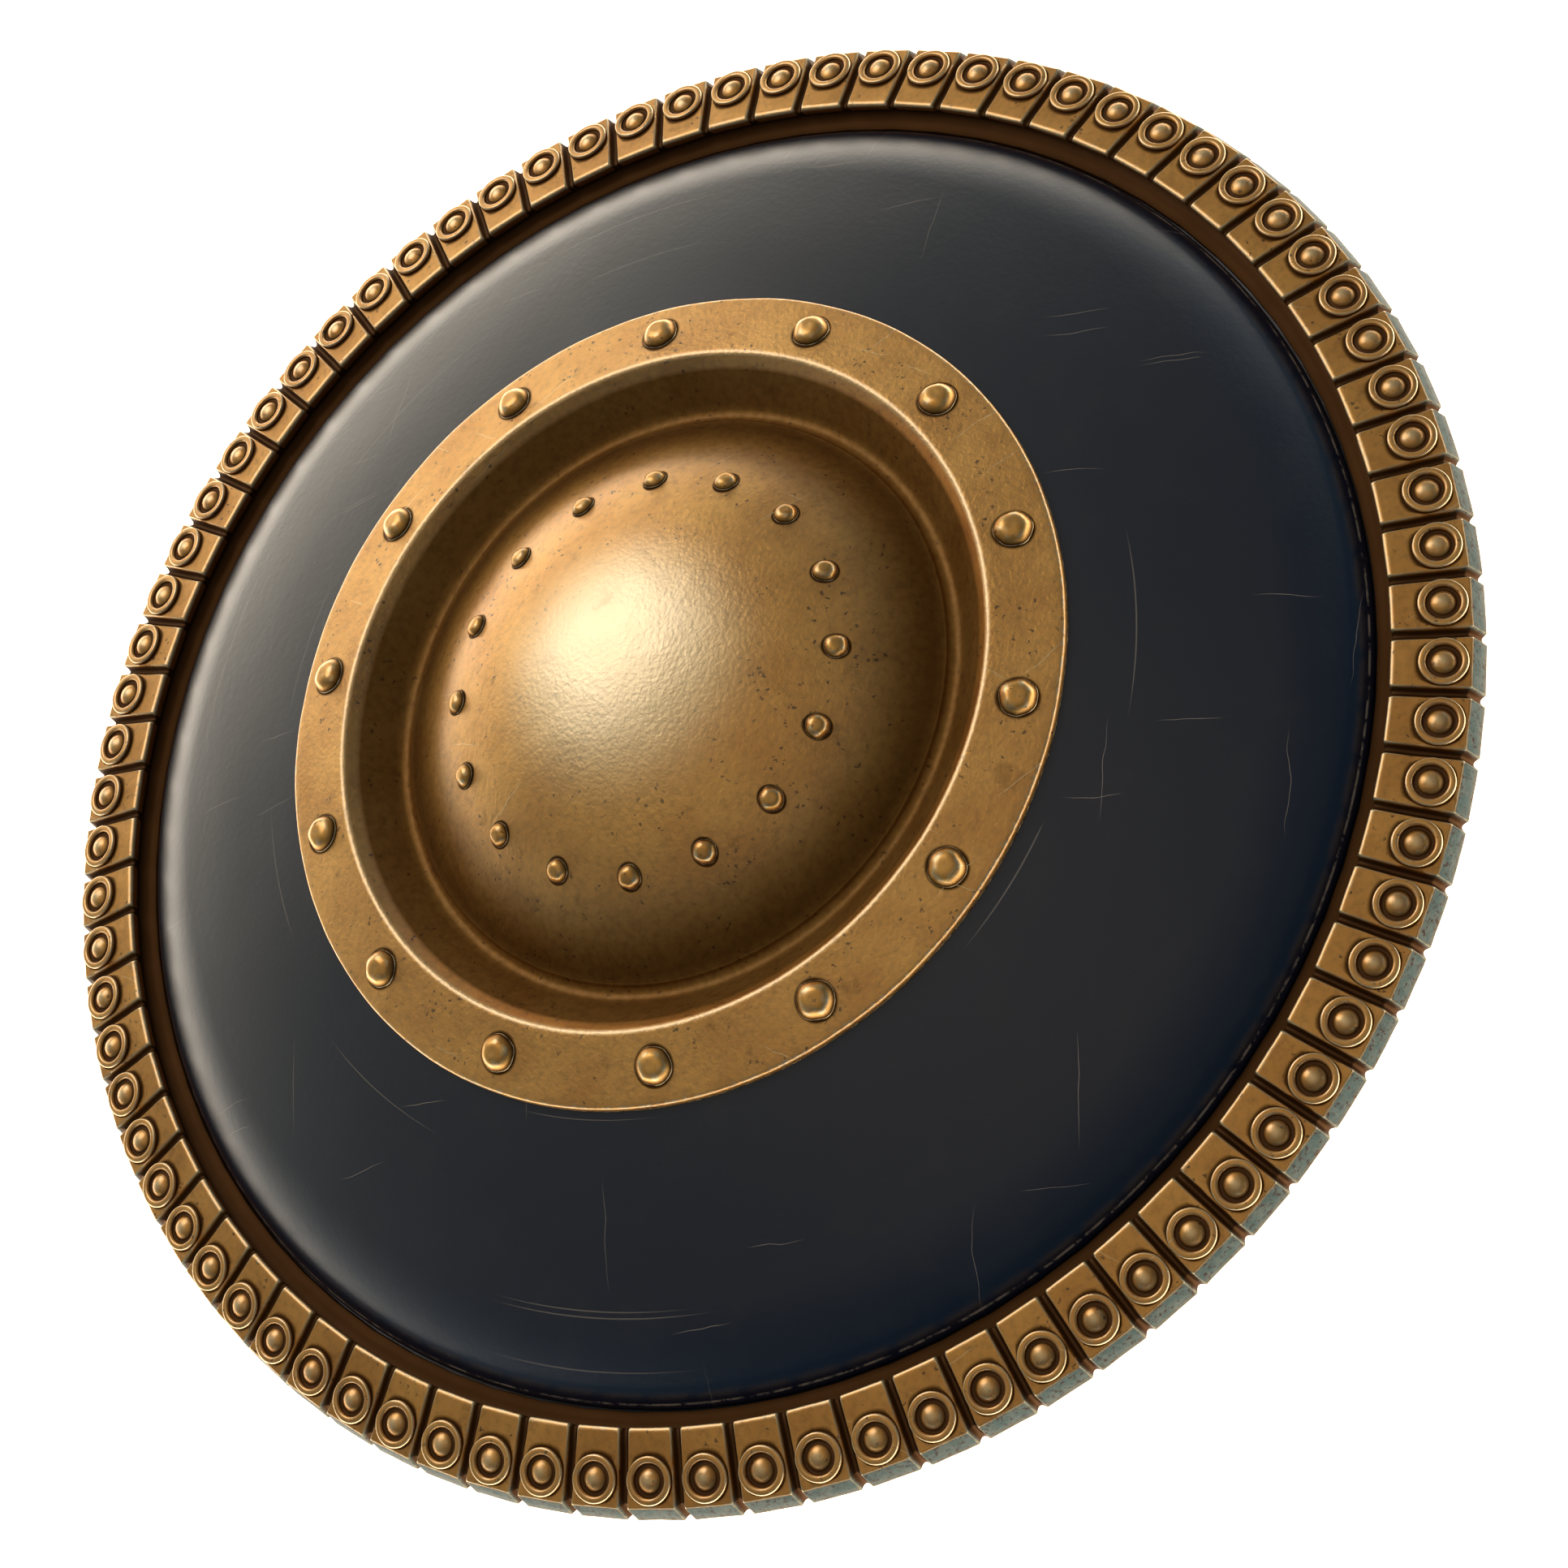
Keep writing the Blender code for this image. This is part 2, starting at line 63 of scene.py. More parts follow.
# Rim: a ring of equal blocks, whose tops fall away outwards
RIM_RADIUS = 0.3000
RIM_TILT = math.radians(13.4)
RIM_EDGE_HEIGHT = 0.0096
TOP_EDGE = (RIM_RADIUS - RIM_EDGE_HEIGHT * math.tan(RIM_TILT), RIM_EDGE_HEIGHT)
BLOCK_COUNT = 80
BLOCK_LENGTH = 0.0300
HALF_PITCH = math.pi / BLOCK_COUNT
CREST_ROUND = 0.0023
CREST_BOW = 0.0007
EDGE_ROUND = 0.0006
EDGE_FULLNESS = 0.25
HALF_GROOVE = 0.0022
GROOVE_DEPTH = 0.0030
GROOVE_SIDE_DEPTH = 0.0020
GROOVE_CREST_DEPTH = 0.0021
LEDGE_HEIGHT = 0.0087
LEDGE_WIDTH = 0.0084
LEDGE_THICKNESS = 0.0030
LEDGE_LIP = 0.0004
FOOT_WIDTH = 0.0080

# Wear and dirt of the rim, with painted shade on its ledge, in its grooves and at its outer foot, and
# painted highlights on its crest and on the lips of its grooves
CREST_WEAR_AND_HIGHLIGHT = 0.5
CREST_SIDE_WEAR_AND_HIGHLIGHT = 0.2
LIP_WEAR_AND_HIGHLIGHT = 0.30
OUTER_EDGE_GRIME = 0.45
OUTER_FOOT_GRIME_AND_SHADE = 0.4
UNDER_FOOT_GRIME_AND_SHADE = 0.2
INNER_FOOT_GRIME = 0.7
LEDGE_GRIME_AND_SHADE = 0.9
LEDGE_LIP_GRIME_AND_SHADE = 0.85

# Stud: a shoulder, a crease, a rounded ring, a valley and a round dot
STUD_RADIUS = 0.00905
STUD_EDGE_MARGIN = 0.0005
STUD_SHOULDER_RADIUS = 0.00897
STUD_SHOULDER_HEIGHT = 0.00105
STUD_SHOULDER_BOW = 0.00030
STUD_CREASE_RADIUS = 0.00820
STUD_CREASE_HEIGHT = 0.00183
STUD_RING_RADIUS = 0.00605
STUD_RING_BOW = 0.00072
STUD_VALLEY_HEIGHT = 0.00040
STUD_DOT_RADIUS = 0.00490
STUD_DOT_HEIGHT = 0.00262
STUD_DOT_BOW = 0.00060

# Wear and dirt of a stud, with painted shade in its crease, its valley and at its foot, and painted
# highlights on its ring and dot; the ring has one value for each of its steps, from the crease inwards
STUD_FOOT_GRIME_AND_SHADE = 0.2
SHOULDER_GRIME = 0.10
CREASE_GRIME_AND_SHADE = 0.05
RING_DIRT_WEAR_AND_PAINTED_LIGHT = (-0.1, -0.30, -0.35, -0.15, 0.10, 0.55, 1.0)
DOT_GRIME_AND_SHADE = 0.5
DOT_WEAR_AND_HIGHLIGHT = 0.80

# Grid of one block; the border of its top is stitched to a ring of stud steps
MIDDLE_COLUMNS = 4
GROOVE_COLUMNS = 4
PATCH_ROWS = 10
ROW_GROWTH = 0.38
STUD_STEPS = 4 * MIDDLE_COLUMNS + 2 * PATCH_ROWS

# Rings between that border and the stud, as (share of the way, mark), darkening towards the stud's foot as
# dirt and painted shade
PATCH_RINGS = ((0.08, 0.14), (0.78, 0.20), (0.94, 0.75))

# Body: a dished sheet, steep at its edge and nearly a cone under the boss
BODY_WALL = 0.0016
EDGE_BEND_RUN = 0.0052
SHOULDER_RUN = 0.0250
EDGE_SLOPE = math.radians(62.0)
SHOULDER_SLOPE = math.radians(43.0)
CROWN_SLOPE = math.radians(22.5)
SEAT_SLOPE = math.radians(16.6)

# Wear and dirt of the body, where it comes out of the rim's channel; its chipped edge also paints a
# highlight line
BODY_EDGE_GRIME = 0.6
BODY_EDGE_CHIPS_AND_HIGHLIGHT = 1.0

# Boss: a conical flange, a wall down to a trough and a dome that rises from it
BOSS_RADIUS = 0.1627
FLANGE_WIDTH = 0.0270
FLANGE_THICKNESS = 0.0030
FLANGE_EDGE_ROUND = 0.0013
RIDGE_ROUND = 0.0021
RIDGE_BOW = 0.0006
BOSS_WALL = 0.0020
TROUGH_DEPTH = 0.0183
TROUGH_RUN = 0.0187
COVE_WIDTH = 0.0030
BEAD_WIDTH = 0.0013
BEAD_RISE = 0.0003
DOME_HEIGHT = 0.0454

# Wear and dirt of the boss, with painted shade on its wall, in its trough and at the dome's foot, and
# painted highlights on its ridge and crown
FLANGE_BACK_GRIME = 0.8
FLANGE_EDGE_GRIME = 0.3
RIDGE_WEAR_AND_HIGHLIGHT = 0.5
WALL_GRIME_AND_SHADE = 0.56
FOOT_START = 0.0700
DOME_FOOT_GRIME_AND_SHADE = 0.64
CROWN_RADIUS = 0.0720
CROWN_SHARE = 0.25
CROWN_WEAR_AND_HIGHLIGHT = 0.9
BACK_GRIME = 0.4
BACK_WALL_GRIME = 0.6

# Rivets
FLANGE_RIVET_COUNT = 14
FLANGE_RIVET_CIRCLE = BOSS_RADIUS - 0.5 * FLANGE_WIDTH
FLANGE_HEAD_RADIUS = 0.0073
FLANGE_HEAD_HEIGHT = 0.0038
DOME_RIVET_COUNT = 16
DOME_RIVET_CIRCLE = 0.0798
DOME_HEAD_RADIUS = 0.0047
DOME_HEAD_HEIGHT = 0.0027
HEAD_FULLNESS = 0.22
SHANK_SHARE = 0.45
TAIL_SHARE = 0.70
TAIL_RISE = 0.0013
HAMMERED_OUTLINE = 0.09
OUTLINE_WAVES = 1.3

# Wear and dirt of the rivets; each head darkens towards its foot as painted shade, and a painted shadow
# rings it on the boss
HEAD_GRIME_AND_SHADE_FALL = 6
HEAD_WEAR = 0.25
TAIL_GRIME = 0.2
TAIL_EDGE_GRIME = 0.8
RIVET_HALO = 1.18

# Grip: a bar bowed clear of the boss, its ends flat against the back of the body
GRIP_WIDTH = 0.0200
GRIP_THICKNESS = 0.0040
HAND_LENGTH = 0.1100
HAND_WIDTH = 0.0240
HAND_THICKNESS = 0.0160
PAD_LENGTH = 0.0200
GRIP_STEP = 0.0020
GRIP_BEND_STEPS = 5
GRIP_SIDES = 28
GRIP_SQUARENESS = 5.0
GRIP_GRIME = 0.2

# Fits; the grip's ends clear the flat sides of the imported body
SEAT_GAP = 0.0003
EDGE_GAP = 0.0008
SEAT_SETBACK = 0.0035
GRIP_CLEARANCE = 0.0060
PACKED_SIDES = 36

# Fineness of the meshes, and how far their small arcs bow out as a share of their size
ARC_FULLNESS = 0.3
BODY_STEPS = 288
BEND_STEPS = 4
SHOULDER_STEPS = 9
CROWN_STEPS = 12
SEAT_STEPS = 3
FACE_FINENESS = 2
BOSS_STEPS = 288
FLANGE_STEPS = 10
RIDGE_STEPS = 8
WALL_STEPS = 8
COVE_STEPS = 6
DOME_RINGS = 44
BACK_RINGS = 16
CREST_STEPS = 5
STUD_SHOULDER_STEPS = 3
DOT_STEPS = 6
RIVET_STEPS = 26
HEAD_STEPS = 9
SMALL_ARC_STEPS = 4
SHORT_STEPS = 2
WELD_DISTANCE = 0.000002
SHARP_ANGLE = math.radians(72.0)

# Unevenness of the surfaces, as the (size, depth) of each of its waves
RIM_WAVES = ((0.011, 0.00016), (0.0035, 0.00007))
BODY_WAVES = ((0.045, 0.00014), (0.016, 0.00003))
BOSS_WAVES = ((0.030, 0.00022), (0.0085, 0.00009))
RIVET_WAVES = ((0.0045, 0.00022),)
GRIP_WAVES = ((0.012, 0.00025), (0.005, 0.00008))

# Camera, found from the circles of studs and rivets in the photo
CAMERA_PLACE = Vector((-0.26248, -0.83627, 1.25774))
CAMERA_TARGET = Vector((-0.0088, -0.0281, 0.0))
CAMERA_ROLL = math.radians(-52.37)
CAMERA_LENS = 90.93
CAMERA_SENSOR = 36.0

# Colours and polish; bronze has a light and a deep tone. Its worn colour also paints highlights, and its
# soot colour also paints the deepest shade
BRASSY = ((0.96, 0.520, 0.112), (0.82, 0.395, 0.068))
COPPERY = ((0.94, 0.485, 0.104), (0.78, 0.365, 0.064))
BRONZE_WORN_AND_HIGHLIGHT = (1.00, 0.815, 0.480)
BRONZE_STAIN = (0.24, 0.095, 0.018)
PATINA = (0.080, 0.033, 0.0085)
SOOT_AND_SHADE = (0.125, 0.058, 0.022)
WEATHERED = (0.052, 0.085, 0.083)
WEATHERED_PALE = (0.095, 0.118, 0.108)
CRUST = (0.040, 0.017, 0.014)
WAX_POLISH = 0.75
PAINT_COLOUR = (0.0018, 0.0056, 0.0150)
PAINT_DUST = (0.0085, 0.0110, 0.0150)
PAINT_POLISH = 0.32
PAINT_IOR = 1.45
SCRATCH_COLOUR = (0.17, 0.14, 0.11)
IRON_COLOUR = (0.060, 0.052, 0.046)
RUST_COLOUR = (0.075, 0.030, 0.013)

# Sizes of the patterns in the materials, and the (size, depth) of their relief
CLOUD_SIZE = 0.030
FINE_SIZE = 0.0030
STAIN_SIZE = 0.013
SPECK_SIZE = 0.0036
PIT_SIZE = 0.0020
CRUST_SIZE = 0.0045
PAINT_CLOUD_SIZE = 0.060
DUST_SIZE = 0.020
CHIP_SIZE = 0.006
RUST_SIZE = 0.012
CAST_SKIN = (0.0022, 0.00010)
HAMMERED_SKIN = (0.0019, 0.00028)
RIVET_SKIN = (0.0024, 0.00005)
PAINT_SKIN = (0.0030, 0.00016)
IRON_SKIN = (0.0035, 0.00035)

# Scratches, as (shift, turn, length, width, share of the cells that have one), and how far they bend
BRONZE_SCRATCHES = ((1.7, 0.5, 0.026, 0.00032, 0.005), (4.9, 1.6, 0.015, 0.00028, 0.004))
PAINT_SCRATCHES = ((4.2, -0.3, 0.040, 0.00024, 0.002), (9.6, 1.1, 0.024, 0.00024, 0.002))
BRONZE_BEND = (0.006, 0.008, 0.0)
PAINT_BEND = (0.008, 0.012, 0.0)

# Arcs in the paint, as (length, width, share), and the part of its cell that a scratch fills
PAINT_ARCS = (0.120, 0.00060, 0.016)
SCRATCH_FILL = 0.7

# Floor
FLOOR_COLOUR = (0.82, 0.82, 0.82)
FLOOR_SHADE = (0.75, 0.75, 0.75)
FLOOR_GLOW = (2.55, 2.20, 1.76)
FLOOR_RADIUS = 9.0
FLOOR_SIDES = 96

# Studio: which way its bright side lies, and its colours on that side, on the other and overhead
BRIGHT_SIDE = (0.30, 0.954, 0.0)
SIDE_START, SIDE_END = -0.3, 0.8
BRIGHT_ABOVE = (0.20, 0.185, 0.140)
DIM_ABOVE = (0.022, 0.030, 0.048)
OVERHEAD = (0.36, 0.305, 0.215)
OVERHEAD_POWER = 4.0
BRIGHT_HORIZON = (1.36, 1.22, 0.94)
DIM_HORIZON = (0.16, 0.34, 0.52)
HORIZON_POWER = 3.0
HORIZON_FALL = 5.5

# Lights, each placed by (azimuth, elevation, distance) from the shield's middle
KEY_PLACE = (68.0, 46.0, 2.4)
KEY_SIDES = (1.42, 1.60)
KEY_BRIGHTNESS = 1.8
KEY_COLOUR = (1.0, 0.945, 0.93)
FLOOR_LIGHT_PLACE = (0.0, 90.0, 3.0)
FLOOR_LIGHT_SIDES = (3.2, 3.2)
FLOOR_LIGHT_BRIGHTNESS = 1.6


def point(spot, dirt_wear_and_painted_light=0.0):
    """A point of a section from its (radius, height)."""
    return Vector((spot[0], spot[1], dirt_wear_and_painted_light))


def arch(start, end, rise, steps):
    """The points of a section after start as far as end, bowed out of the metal by rise."""
    way = end - start
    outwards = Vector((way.y, -way.x, 0.0)).normalized()
    shares = [step / steps for step in range(1, steps + 1)]
    return [start + way * share + outwards * (rise * math.sin(math.pi * share)) for share in shares]


def straight(start, end, steps):
    """The points of a section after start as far as end, along a straight line."""
    return [start.lerp(end, step / steps) for step in range(1, steps + 1)]


def rotations(steps):
    """Sines and cosines of equal steps around a circle."""
    angles = np.arange(steps) * 2.0 * math.pi / steps
    return np.sin(angles), np.cos(angles)


def turned(section, steps):
    """Points, faces and marks of dirt, wear and painted light of a closed section turned about Z."""
    sines, cosines = rotations(steps)
    radii, heights, dirt_wear_and_painted_light = np.array(section).T
    points = np.stack([np.outer(radii, cosines), np.outer(radii, sines),
                       np.repeat(heights[:, None], steps, axis=1)], axis=-1)
    faces = []
    for ring in range(len(section)):
        following = (ring + 1) % len(section)
        # A side that lies on the axis sweeps no face
        if section[ring].x == 0.0 and section[following].x == 0.0:
            continue
        for step in range(steps):
            beside = (step + 1) % steps
            faces.append((ring * steps + step, ring * steps + beside,
                          following * steps + beside, following * steps + step))
    return points.reshape(-1, 3), faces, np.repeat(dirt_wear_and_painted_light, steps)


def mesh_from(name, points, faces, dirt_wear_and_painted_light):
    """A closed mesh that keeps its points' marks of dirt, wear and painted light."""
    mesh = bpy.data.meshes.new(name)
    mesh.from_pydata(points.tolist(), [], faces)
    mesh.attributes.new("dirt_wear_and_painted_light", "FLOAT", "POINT").data.foreach_set("value", dirt_wear_and_painted_light)
    shape = bmesh.new()
    shape.from_mesh(mesh)
    bmesh.ops.remove_doubles(shape, verts=shape.verts, dist=WELD_DISTANCE)
    bmesh.ops.recalc_face_normals(shape, faces=shape.faces)
    shape.to_mesh(mesh)
    shape.free()
    return mesh


def places_and_normals(mesh):
    """The places of a mesh's vertices and their normals."""
    places = np.empty(3 * len(mesh.vertices))
    normals = np.empty(3 * len(mesh.vertices))
    mesh.vertices.foreach_get("co", places)
    mesh.vertex_normals.foreach_get("vector", normals)
    return places.reshape(-1, 3), normals.reshape(-1, 3)


def mark_edges(mesh):
    """Store how far each vertex stands out of its neighbours, from -1 in a crease to 1 on an edge."""
    places, normals = places_and_normals(mesh)
    ends = np.empty(2 * len(mesh.edges), dtype=np.int32)
    mesh.edges.foreach_get("vertices", ends)
    first, second = ends.reshape(-1, 2).T
    ways = places[second] - places[first]
    ways /= np.linalg.norm(ways, axis=1)[:, None] + 1e-12
    stand, counts = np.zeros((2, len(places)))
    for corners, sign in ((first, -1.0), (second, 1.0)):
        np.add.at(stand, corners, sign * np.sum(ways * normals[corners], axis=1))
        np.add.at(counts, corners, 1.0)
    mesh.attributes.new("edge", "FLOAT", "POINT").data.foreach_set("value", stand / counts)


def roughen(mesh, waves):
    """Push the surface in and out by smooth noise; each wave is its (size, depth)."""
    places, normals = places_and_normals(mesh)
    push = np.zeros(len(places))
    for size, depth in waves:
        shift = Vector((size, depth, size)) * 1000.0
        push += depth * np.array([noise.noise(Vector(place) / size + shift) for place in places])
    places = np.clip(places + normals * push[:, None], *np.array(cad_box))
    mesh.vertices.foreach_set("co", places.ravel())
    mesh.update()


def show(name, mesh, material, node, waves):
    """Finish a piece's mesh and put it in the place of its CAD node."""
    mark_edges(mesh)
    roughen(mesh, waves)
    mesh.shade_smooth()
    mesh.set_sharp_from_angle(angle=SHARP_ANGLE)
    mesh.materials.append(material)
    piece = bpy.data.objects.new(name, mesh)
    bpy.context.scene.collection.objects.link(piece)
    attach(piece, "root")
    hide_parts(node)


def along_block(distance):
    """The point on a block's top at a distance inwards from its outer edge."""
    return (TOP_EDGE[0] - distance * math.cos(RIM_TILT), TOP_EDGE[1] + distance * math.sin(RIM_TILT))


def below_block(spot, depth):
    """The point at a depth under a point of a block's top, square to it."""
    return (spot[0] - depth * math.sin(RIM_TILT), spot[1] - depth * math.cos(RIM_TILT))


def down_wall(spot, distance):
    """The point at a distance down the rim's inner wall, which leans inwards."""
    return (spot[0] + distance * math.sin(RIM_TILT), spot[1] - distance * math.cos(RIM_TILT))


def eased(share):
    """A share from 0 to 1 with a soft start and end."""
    share = min(max(share, 0.0), 1.0)
    return share * share * (3.0 - 2.0 * share)


def groove_floor(distance):
    """The floor of the groove beside the point at a distance along the block's top."""
    last_third = 3.0 * distance / (BLOCK_LENGTH - CREST_ROUND) - 2.0
    depth = GROOVE_DEPTH + (GROOVE_CREST_DEPTH - GROOVE_DEPTH) * eased(last_third)
    setback = GROOVE_SIDE_DEPTH * (1.0 - eased(distance / (2.0 * STUD_RADIUS)))
    return below_block(along_block(distance + setback), depth)


def stud_rows():
    """Pairs of points on a block and on a groove's floor along the stud, from the outer edge inwards."""
    start, end = EDGE_ROUND, BLOCK_LENGTH - CREST_ROUND
    rows = []
    for row in range(PATCH_ROWS + 1):
        share = row / PATCH_ROWS
        grown = (1.0 - ROW_GROWTH) * share + ROW_GROWTH * share ** 3
        distance = start + (end - start) * grown
        # The groove's floor is painted fully dark, as dirt and painted shade
        rows.append((point(along_block(distance)), point(groove_floor(distance), 1.0)))
    return rows


def wall_foot():
    """The foot of the rim's inner wall, on the ledge."""
    corner = along_block(BLOCK_LENGTH)
    return down_wall(corner, (corner[1] - LEDGE_HEIGHT) / math.cos(RIM_TILT))


def ledge_radius():
    """Radius of the ledge's inner edge."""
    return wall_foot()[0] - LEDGE_WIDTH


def ledge_and_channel():
    """The section from the foot of the inner wall over the ledge and through the channel to the foot."""
    ledge_edge = ledge_radius()
    under = LEDGE_HEIGHT - LEDGE_THICKNESS
    inner_foot = RIM_RADIUS - FOOT_WIDTH
    return [
        # The ledge is darkened as dirt and as painted shade
        point((ledge_edge + 0.5 * LEDGE_WIDTH, LEDGE_HEIGHT), LEDGE_GRIME_AND_SHADE),
        point((ledge_edge + LEDGE_LIP, LEDGE_HEIGHT), LEDGE_LIP_GRIME_AND_SHADE),
        point((ledge_edge, LEDGE_HEIGHT - LEDGE_LIP), LEDGE_LIP_GRIME_AND_SHADE),
        point((ledge_edge, under), LEDGE_GRIME_AND_SHADE),
        point((inner_foot, under), 1.0),
        point((inner_foot, 0.0), INNER_FOOT_GRIME),
    ]


def crest_lines():
    """The crest's section on a block and in a groove, from its top inwards."""
    distance = BLOCK_LENGTH - CREST_ROUND
    corner = along_block(BLOCK_LENGTH)
    # The crest and its rounding are painted bright, as wear and as a painted highlight; the groove's floor
    # beside it is painted dark as dirt and painted shade
    top = point(along_block(distance), -CREST_SIDE_WEAR_AND_HIGHLIGHT)
    top_end = point(down_wall(corner, CREST_ROUND), -CREST_SIDE_WEAR_AND_HIGHLIGHT)
    on_block = [top] + arch(top, top_end, CREST_BOW, CREST_STEPS)
    for spot in on_block[1:-1]:
        spot.z = -CREST_WEAR_AND_HIGHLIGHT
    floor = point(groove_floor(distance), 1.0)
    floor_end = point(down_wall(corner, CREST_ROUND + GROOVE_CREST_DEPTH), 1.0)
    return on_block, [floor] + arch(floor, floor_end, CREST_BOW, CREST_STEPS)


def outer_line(foot, edge, end):
    """The rim's section from its outer foot up its wall and around its top edge."""
    under = point((foot.x - EDGE_ROUND, foot.y), min(foot.z + UNDER_FOOT_GRIME_AND_SHADE, 1.0))
    line = [under, foot + Vector((0.0, EDGE_ROUND, 0.0))]
    line += straight(line[-1], foot.lerp(edge, 1.0 - EDGE_ROUND / RIM_EDGE_HEIGHT), SHORT_STEPS)
    return line + arch(line[-1], end, EDGE_FULLNESS * EDGE_ROUND, SHORT_STEPS)


def rim_rows():
    """Pairs of points on a block and on a groove's floor, from the crest inwards and back to the stud."""
    # The outer foot is darkened as dirt and painted shade, and the groove's floor and the inner wall's
    # foot are painted fully dark as dirt and painted shade
    foot = point((RIM_RADIUS, 0.0), OUTER_FOOT_GRIME_AND_SHADE)
    groove_foot = point((RIM_RADIUS - GROOVE_SIDE_DEPTH, 0.0), 1.0)
    block_end, groove_end = stud_rows()[0]
    outer_lines = (
        outer_line(foot, point(TOP_EDGE, OUTER_EDGE_GRIME), block_end),
        outer_line(groove_foot, point(groove_floor(0.0), 1.0), groove_end),
    )
    lines = []
    for crest, outer in zip(crest_lines(), outer_lines):
        wall = straight(crest[-1], point(wall_foot(), 1.0), SHORT_STEPS)
        lines.append(crest + wall + ledge_and_channel() + outer)
    return list(zip(*lines))


def sink_at(share):
    """How far the surface has sunk to the groove's floor at a share of the way out of the groove."""
    return math.cos(0.5 * math.pi * min(share, 1.0))


def block_point(column, top, floor):
    """(X, Y, Z, mark of dirt, wear and painted light) on a row of the grid at a column, counted from the
    block's middle.
    """
    groove_share = 1.0 - max(abs(column) - MIDDLE_COLUMNS, 0) / GROOVE_COLUMNS
    sink = sink_at(groove_share)
    spot = top.lerp(floor, sink)
    spot.z = top.z + (floor.z - top.z) * math.sqrt(sink)
    # The groove's lip is painted bright, as wear and as a painted highlight
    if abs(column) == MIDDLE_COLUMNS:
        spot.z -= LIP_WEAR_AND_HIGHLIGHT * min((floor - top).xy.length / GROOVE_DEPTH, 1.0)
    side = spot.x * math.tan(HALF_PITCH) - groove_share * HALF_GROOVE / math.cos(HALF_PITCH)
    # The columns lie closer together towards the groove, so its lip stays crisp
    across = side * (1.0 - (1.0 - min(abs(column) / MIDDLE_COLUMNS, 1.0)) ** 2)
    return (spot.x, math.copysign(across, column), spot.y, spot.z)


def stud_centre():
    """Distance of the stud's middle from the block's outer edge."""
    half_block = TOP_EDGE[0] * math.tan(HALF_PITCH) - HALF_GROOVE / math.cos(HALF_PITCH)
    return half_block + STUD_EDGE_MARGIN


def top_point(distance, across, lift, dirt_wear_and_painted_light):
    """(X, Y, Z, mark of dirt, wear and painted light) over the block's top, lifted square to it."""
    spot = below_block(along_block(distance), -lift)
    return (spot[0], across, spot[1], dirt_wear_and_painted_light)


def stud_section():
    """The stud from its foot to its tip, as (distance from its middle, height, mark of dirt, wear and
    painted light) points.
    """
    shoulder = Vector((STUD_SHOULDER_RADIUS, STUD_SHOULDER_HEIGHT, STUD_FOOT_GRIME_AND_SHADE))
    crease = Vector((STUD_CREASE_RADIUS, STUD_CREASE_HEIGHT, CREASE_GRIME_AND_SHADE))
    valley = Vector((STUD_RING_RADIUS, STUD_VALLEY_HEIGHT, 1.0))
    dot = Vector((STUD_DOT_RADIUS, STUD_VALLEY_HEIGHT, 1.0))
    tip = Vector((0.0, STUD_DOT_HEIGHT, 0.0))
    outside = arch(shoulder, crease, STUD_SHOULDER_BOW, STUD_SHOULDER_STEPS)
    for spot in outside[:-1]:
        spot.z = SHOULDER_GRIME
    # The ring is painted bright on its top as wear and painted highlight, and dark in the valley as dirt
    # and painted shade
    ring = arch(crease, valley, STUD_RING_BOW, len(RING_DIRT_WEAR_AND_PAINTED_LIGHT))
    for spot, dirt_wear_and_painted_light in zip(ring, RING_DIRT_WEAR_AND_PAINTED_LIGHT):
        spot.z = dirt_wear_and_painted_light
    # The dot is painted dark at its foot as painted shade, and bright towards its tip as wear and painted
    # highlight
    dome = arch(dot, tip, STUD_DOT_BOW, DOT_STEPS)
    for spot in dome:
        share = spot.x / STUD_DOT_RADIUS
        spot.z = DOT_GRIME_AND_SHADE * eased(share) ** 2 - DOT_WEAR_AND_HIGHLIGHT * (1.0 - share)
    return [shoulder] + outside + ring + straight(valley, dot, SHORT_STEPS) + dome


def stud_ring(distance_out, lift, dirt_wear_and_painted_light):
    """One ring of the stud."""
    ring = []
    for step in range(STUD_STEPS):
        angle = 2.0 * math.pi * step / STUD_STEPS
        along = stud_centre() - distance_out * math.cos(angle)
        ring.append(top_point(along, distance_out * math.sin(angle), lift, dirt_wear_and_painted_light))
    return ring


def patch_border():
    """The grid's points around the stud, from the outer edge's middle towards +Y."""
    rows = stud_rows()
    last = MIDDLE_COLUMNS
    places = [(column, 0) for column in range(0, last + 1)]
    places += [(last, row) for row in range(1, PATCH_ROWS + 1)]
    places += [(column, PATCH_ROWS) for column in range(last - 1, -last - 1, -1)]
    places += [(-last, row) for row in range(PATCH_ROWS - 1, -1, -1)]
    places += [(column, 0) for column in range(1 - last, 0)]
    return [block_point(column, *rows[row]) for column, row in places]


def stud_patch():
    """Rings from the border of the patch to the stud's foot and over the stud."""
    border = patch_border()
    # The stud's foot is painted fully dark, as dirt and painted shade
    foot = stud_ring(STUD_RADIUS, 0.0, 1.0)
    rings = [border]
    cosine = math.cos(RIM_TILT)
    for share, dirt_wear_and_painted_light in PATCH_RINGS:
        ring = []
        for outer, inner in zip(border, foot):
            radius = outer[0] + (inner[0] - outer[0]) * share
            across = outer[1] + (inner[1] - outer[1]) * share
            ring.append(top_point((TOP_EDGE[0] - radius) / cosine, across, 0.0, dirt_wear_and_painted_light))
        rings.append(ring)
    rings.append(foot)
    return rings + [stud_ring(*spot) for spot in stud_section()]


def lattice(rows, first, closed):
    """Faces between rows of as many points, numbered from first."""
    width = len(rows[0])
    faces = []
    for row in range(len(rows) - 1):
        for step in range(width if closed else width - 1):
            beside = (step + 1) % width
            low, high = first + row * width, first + (row + 1) * width
            faces.append((low + step, low + beside, high + beside, high + step))
    return faces


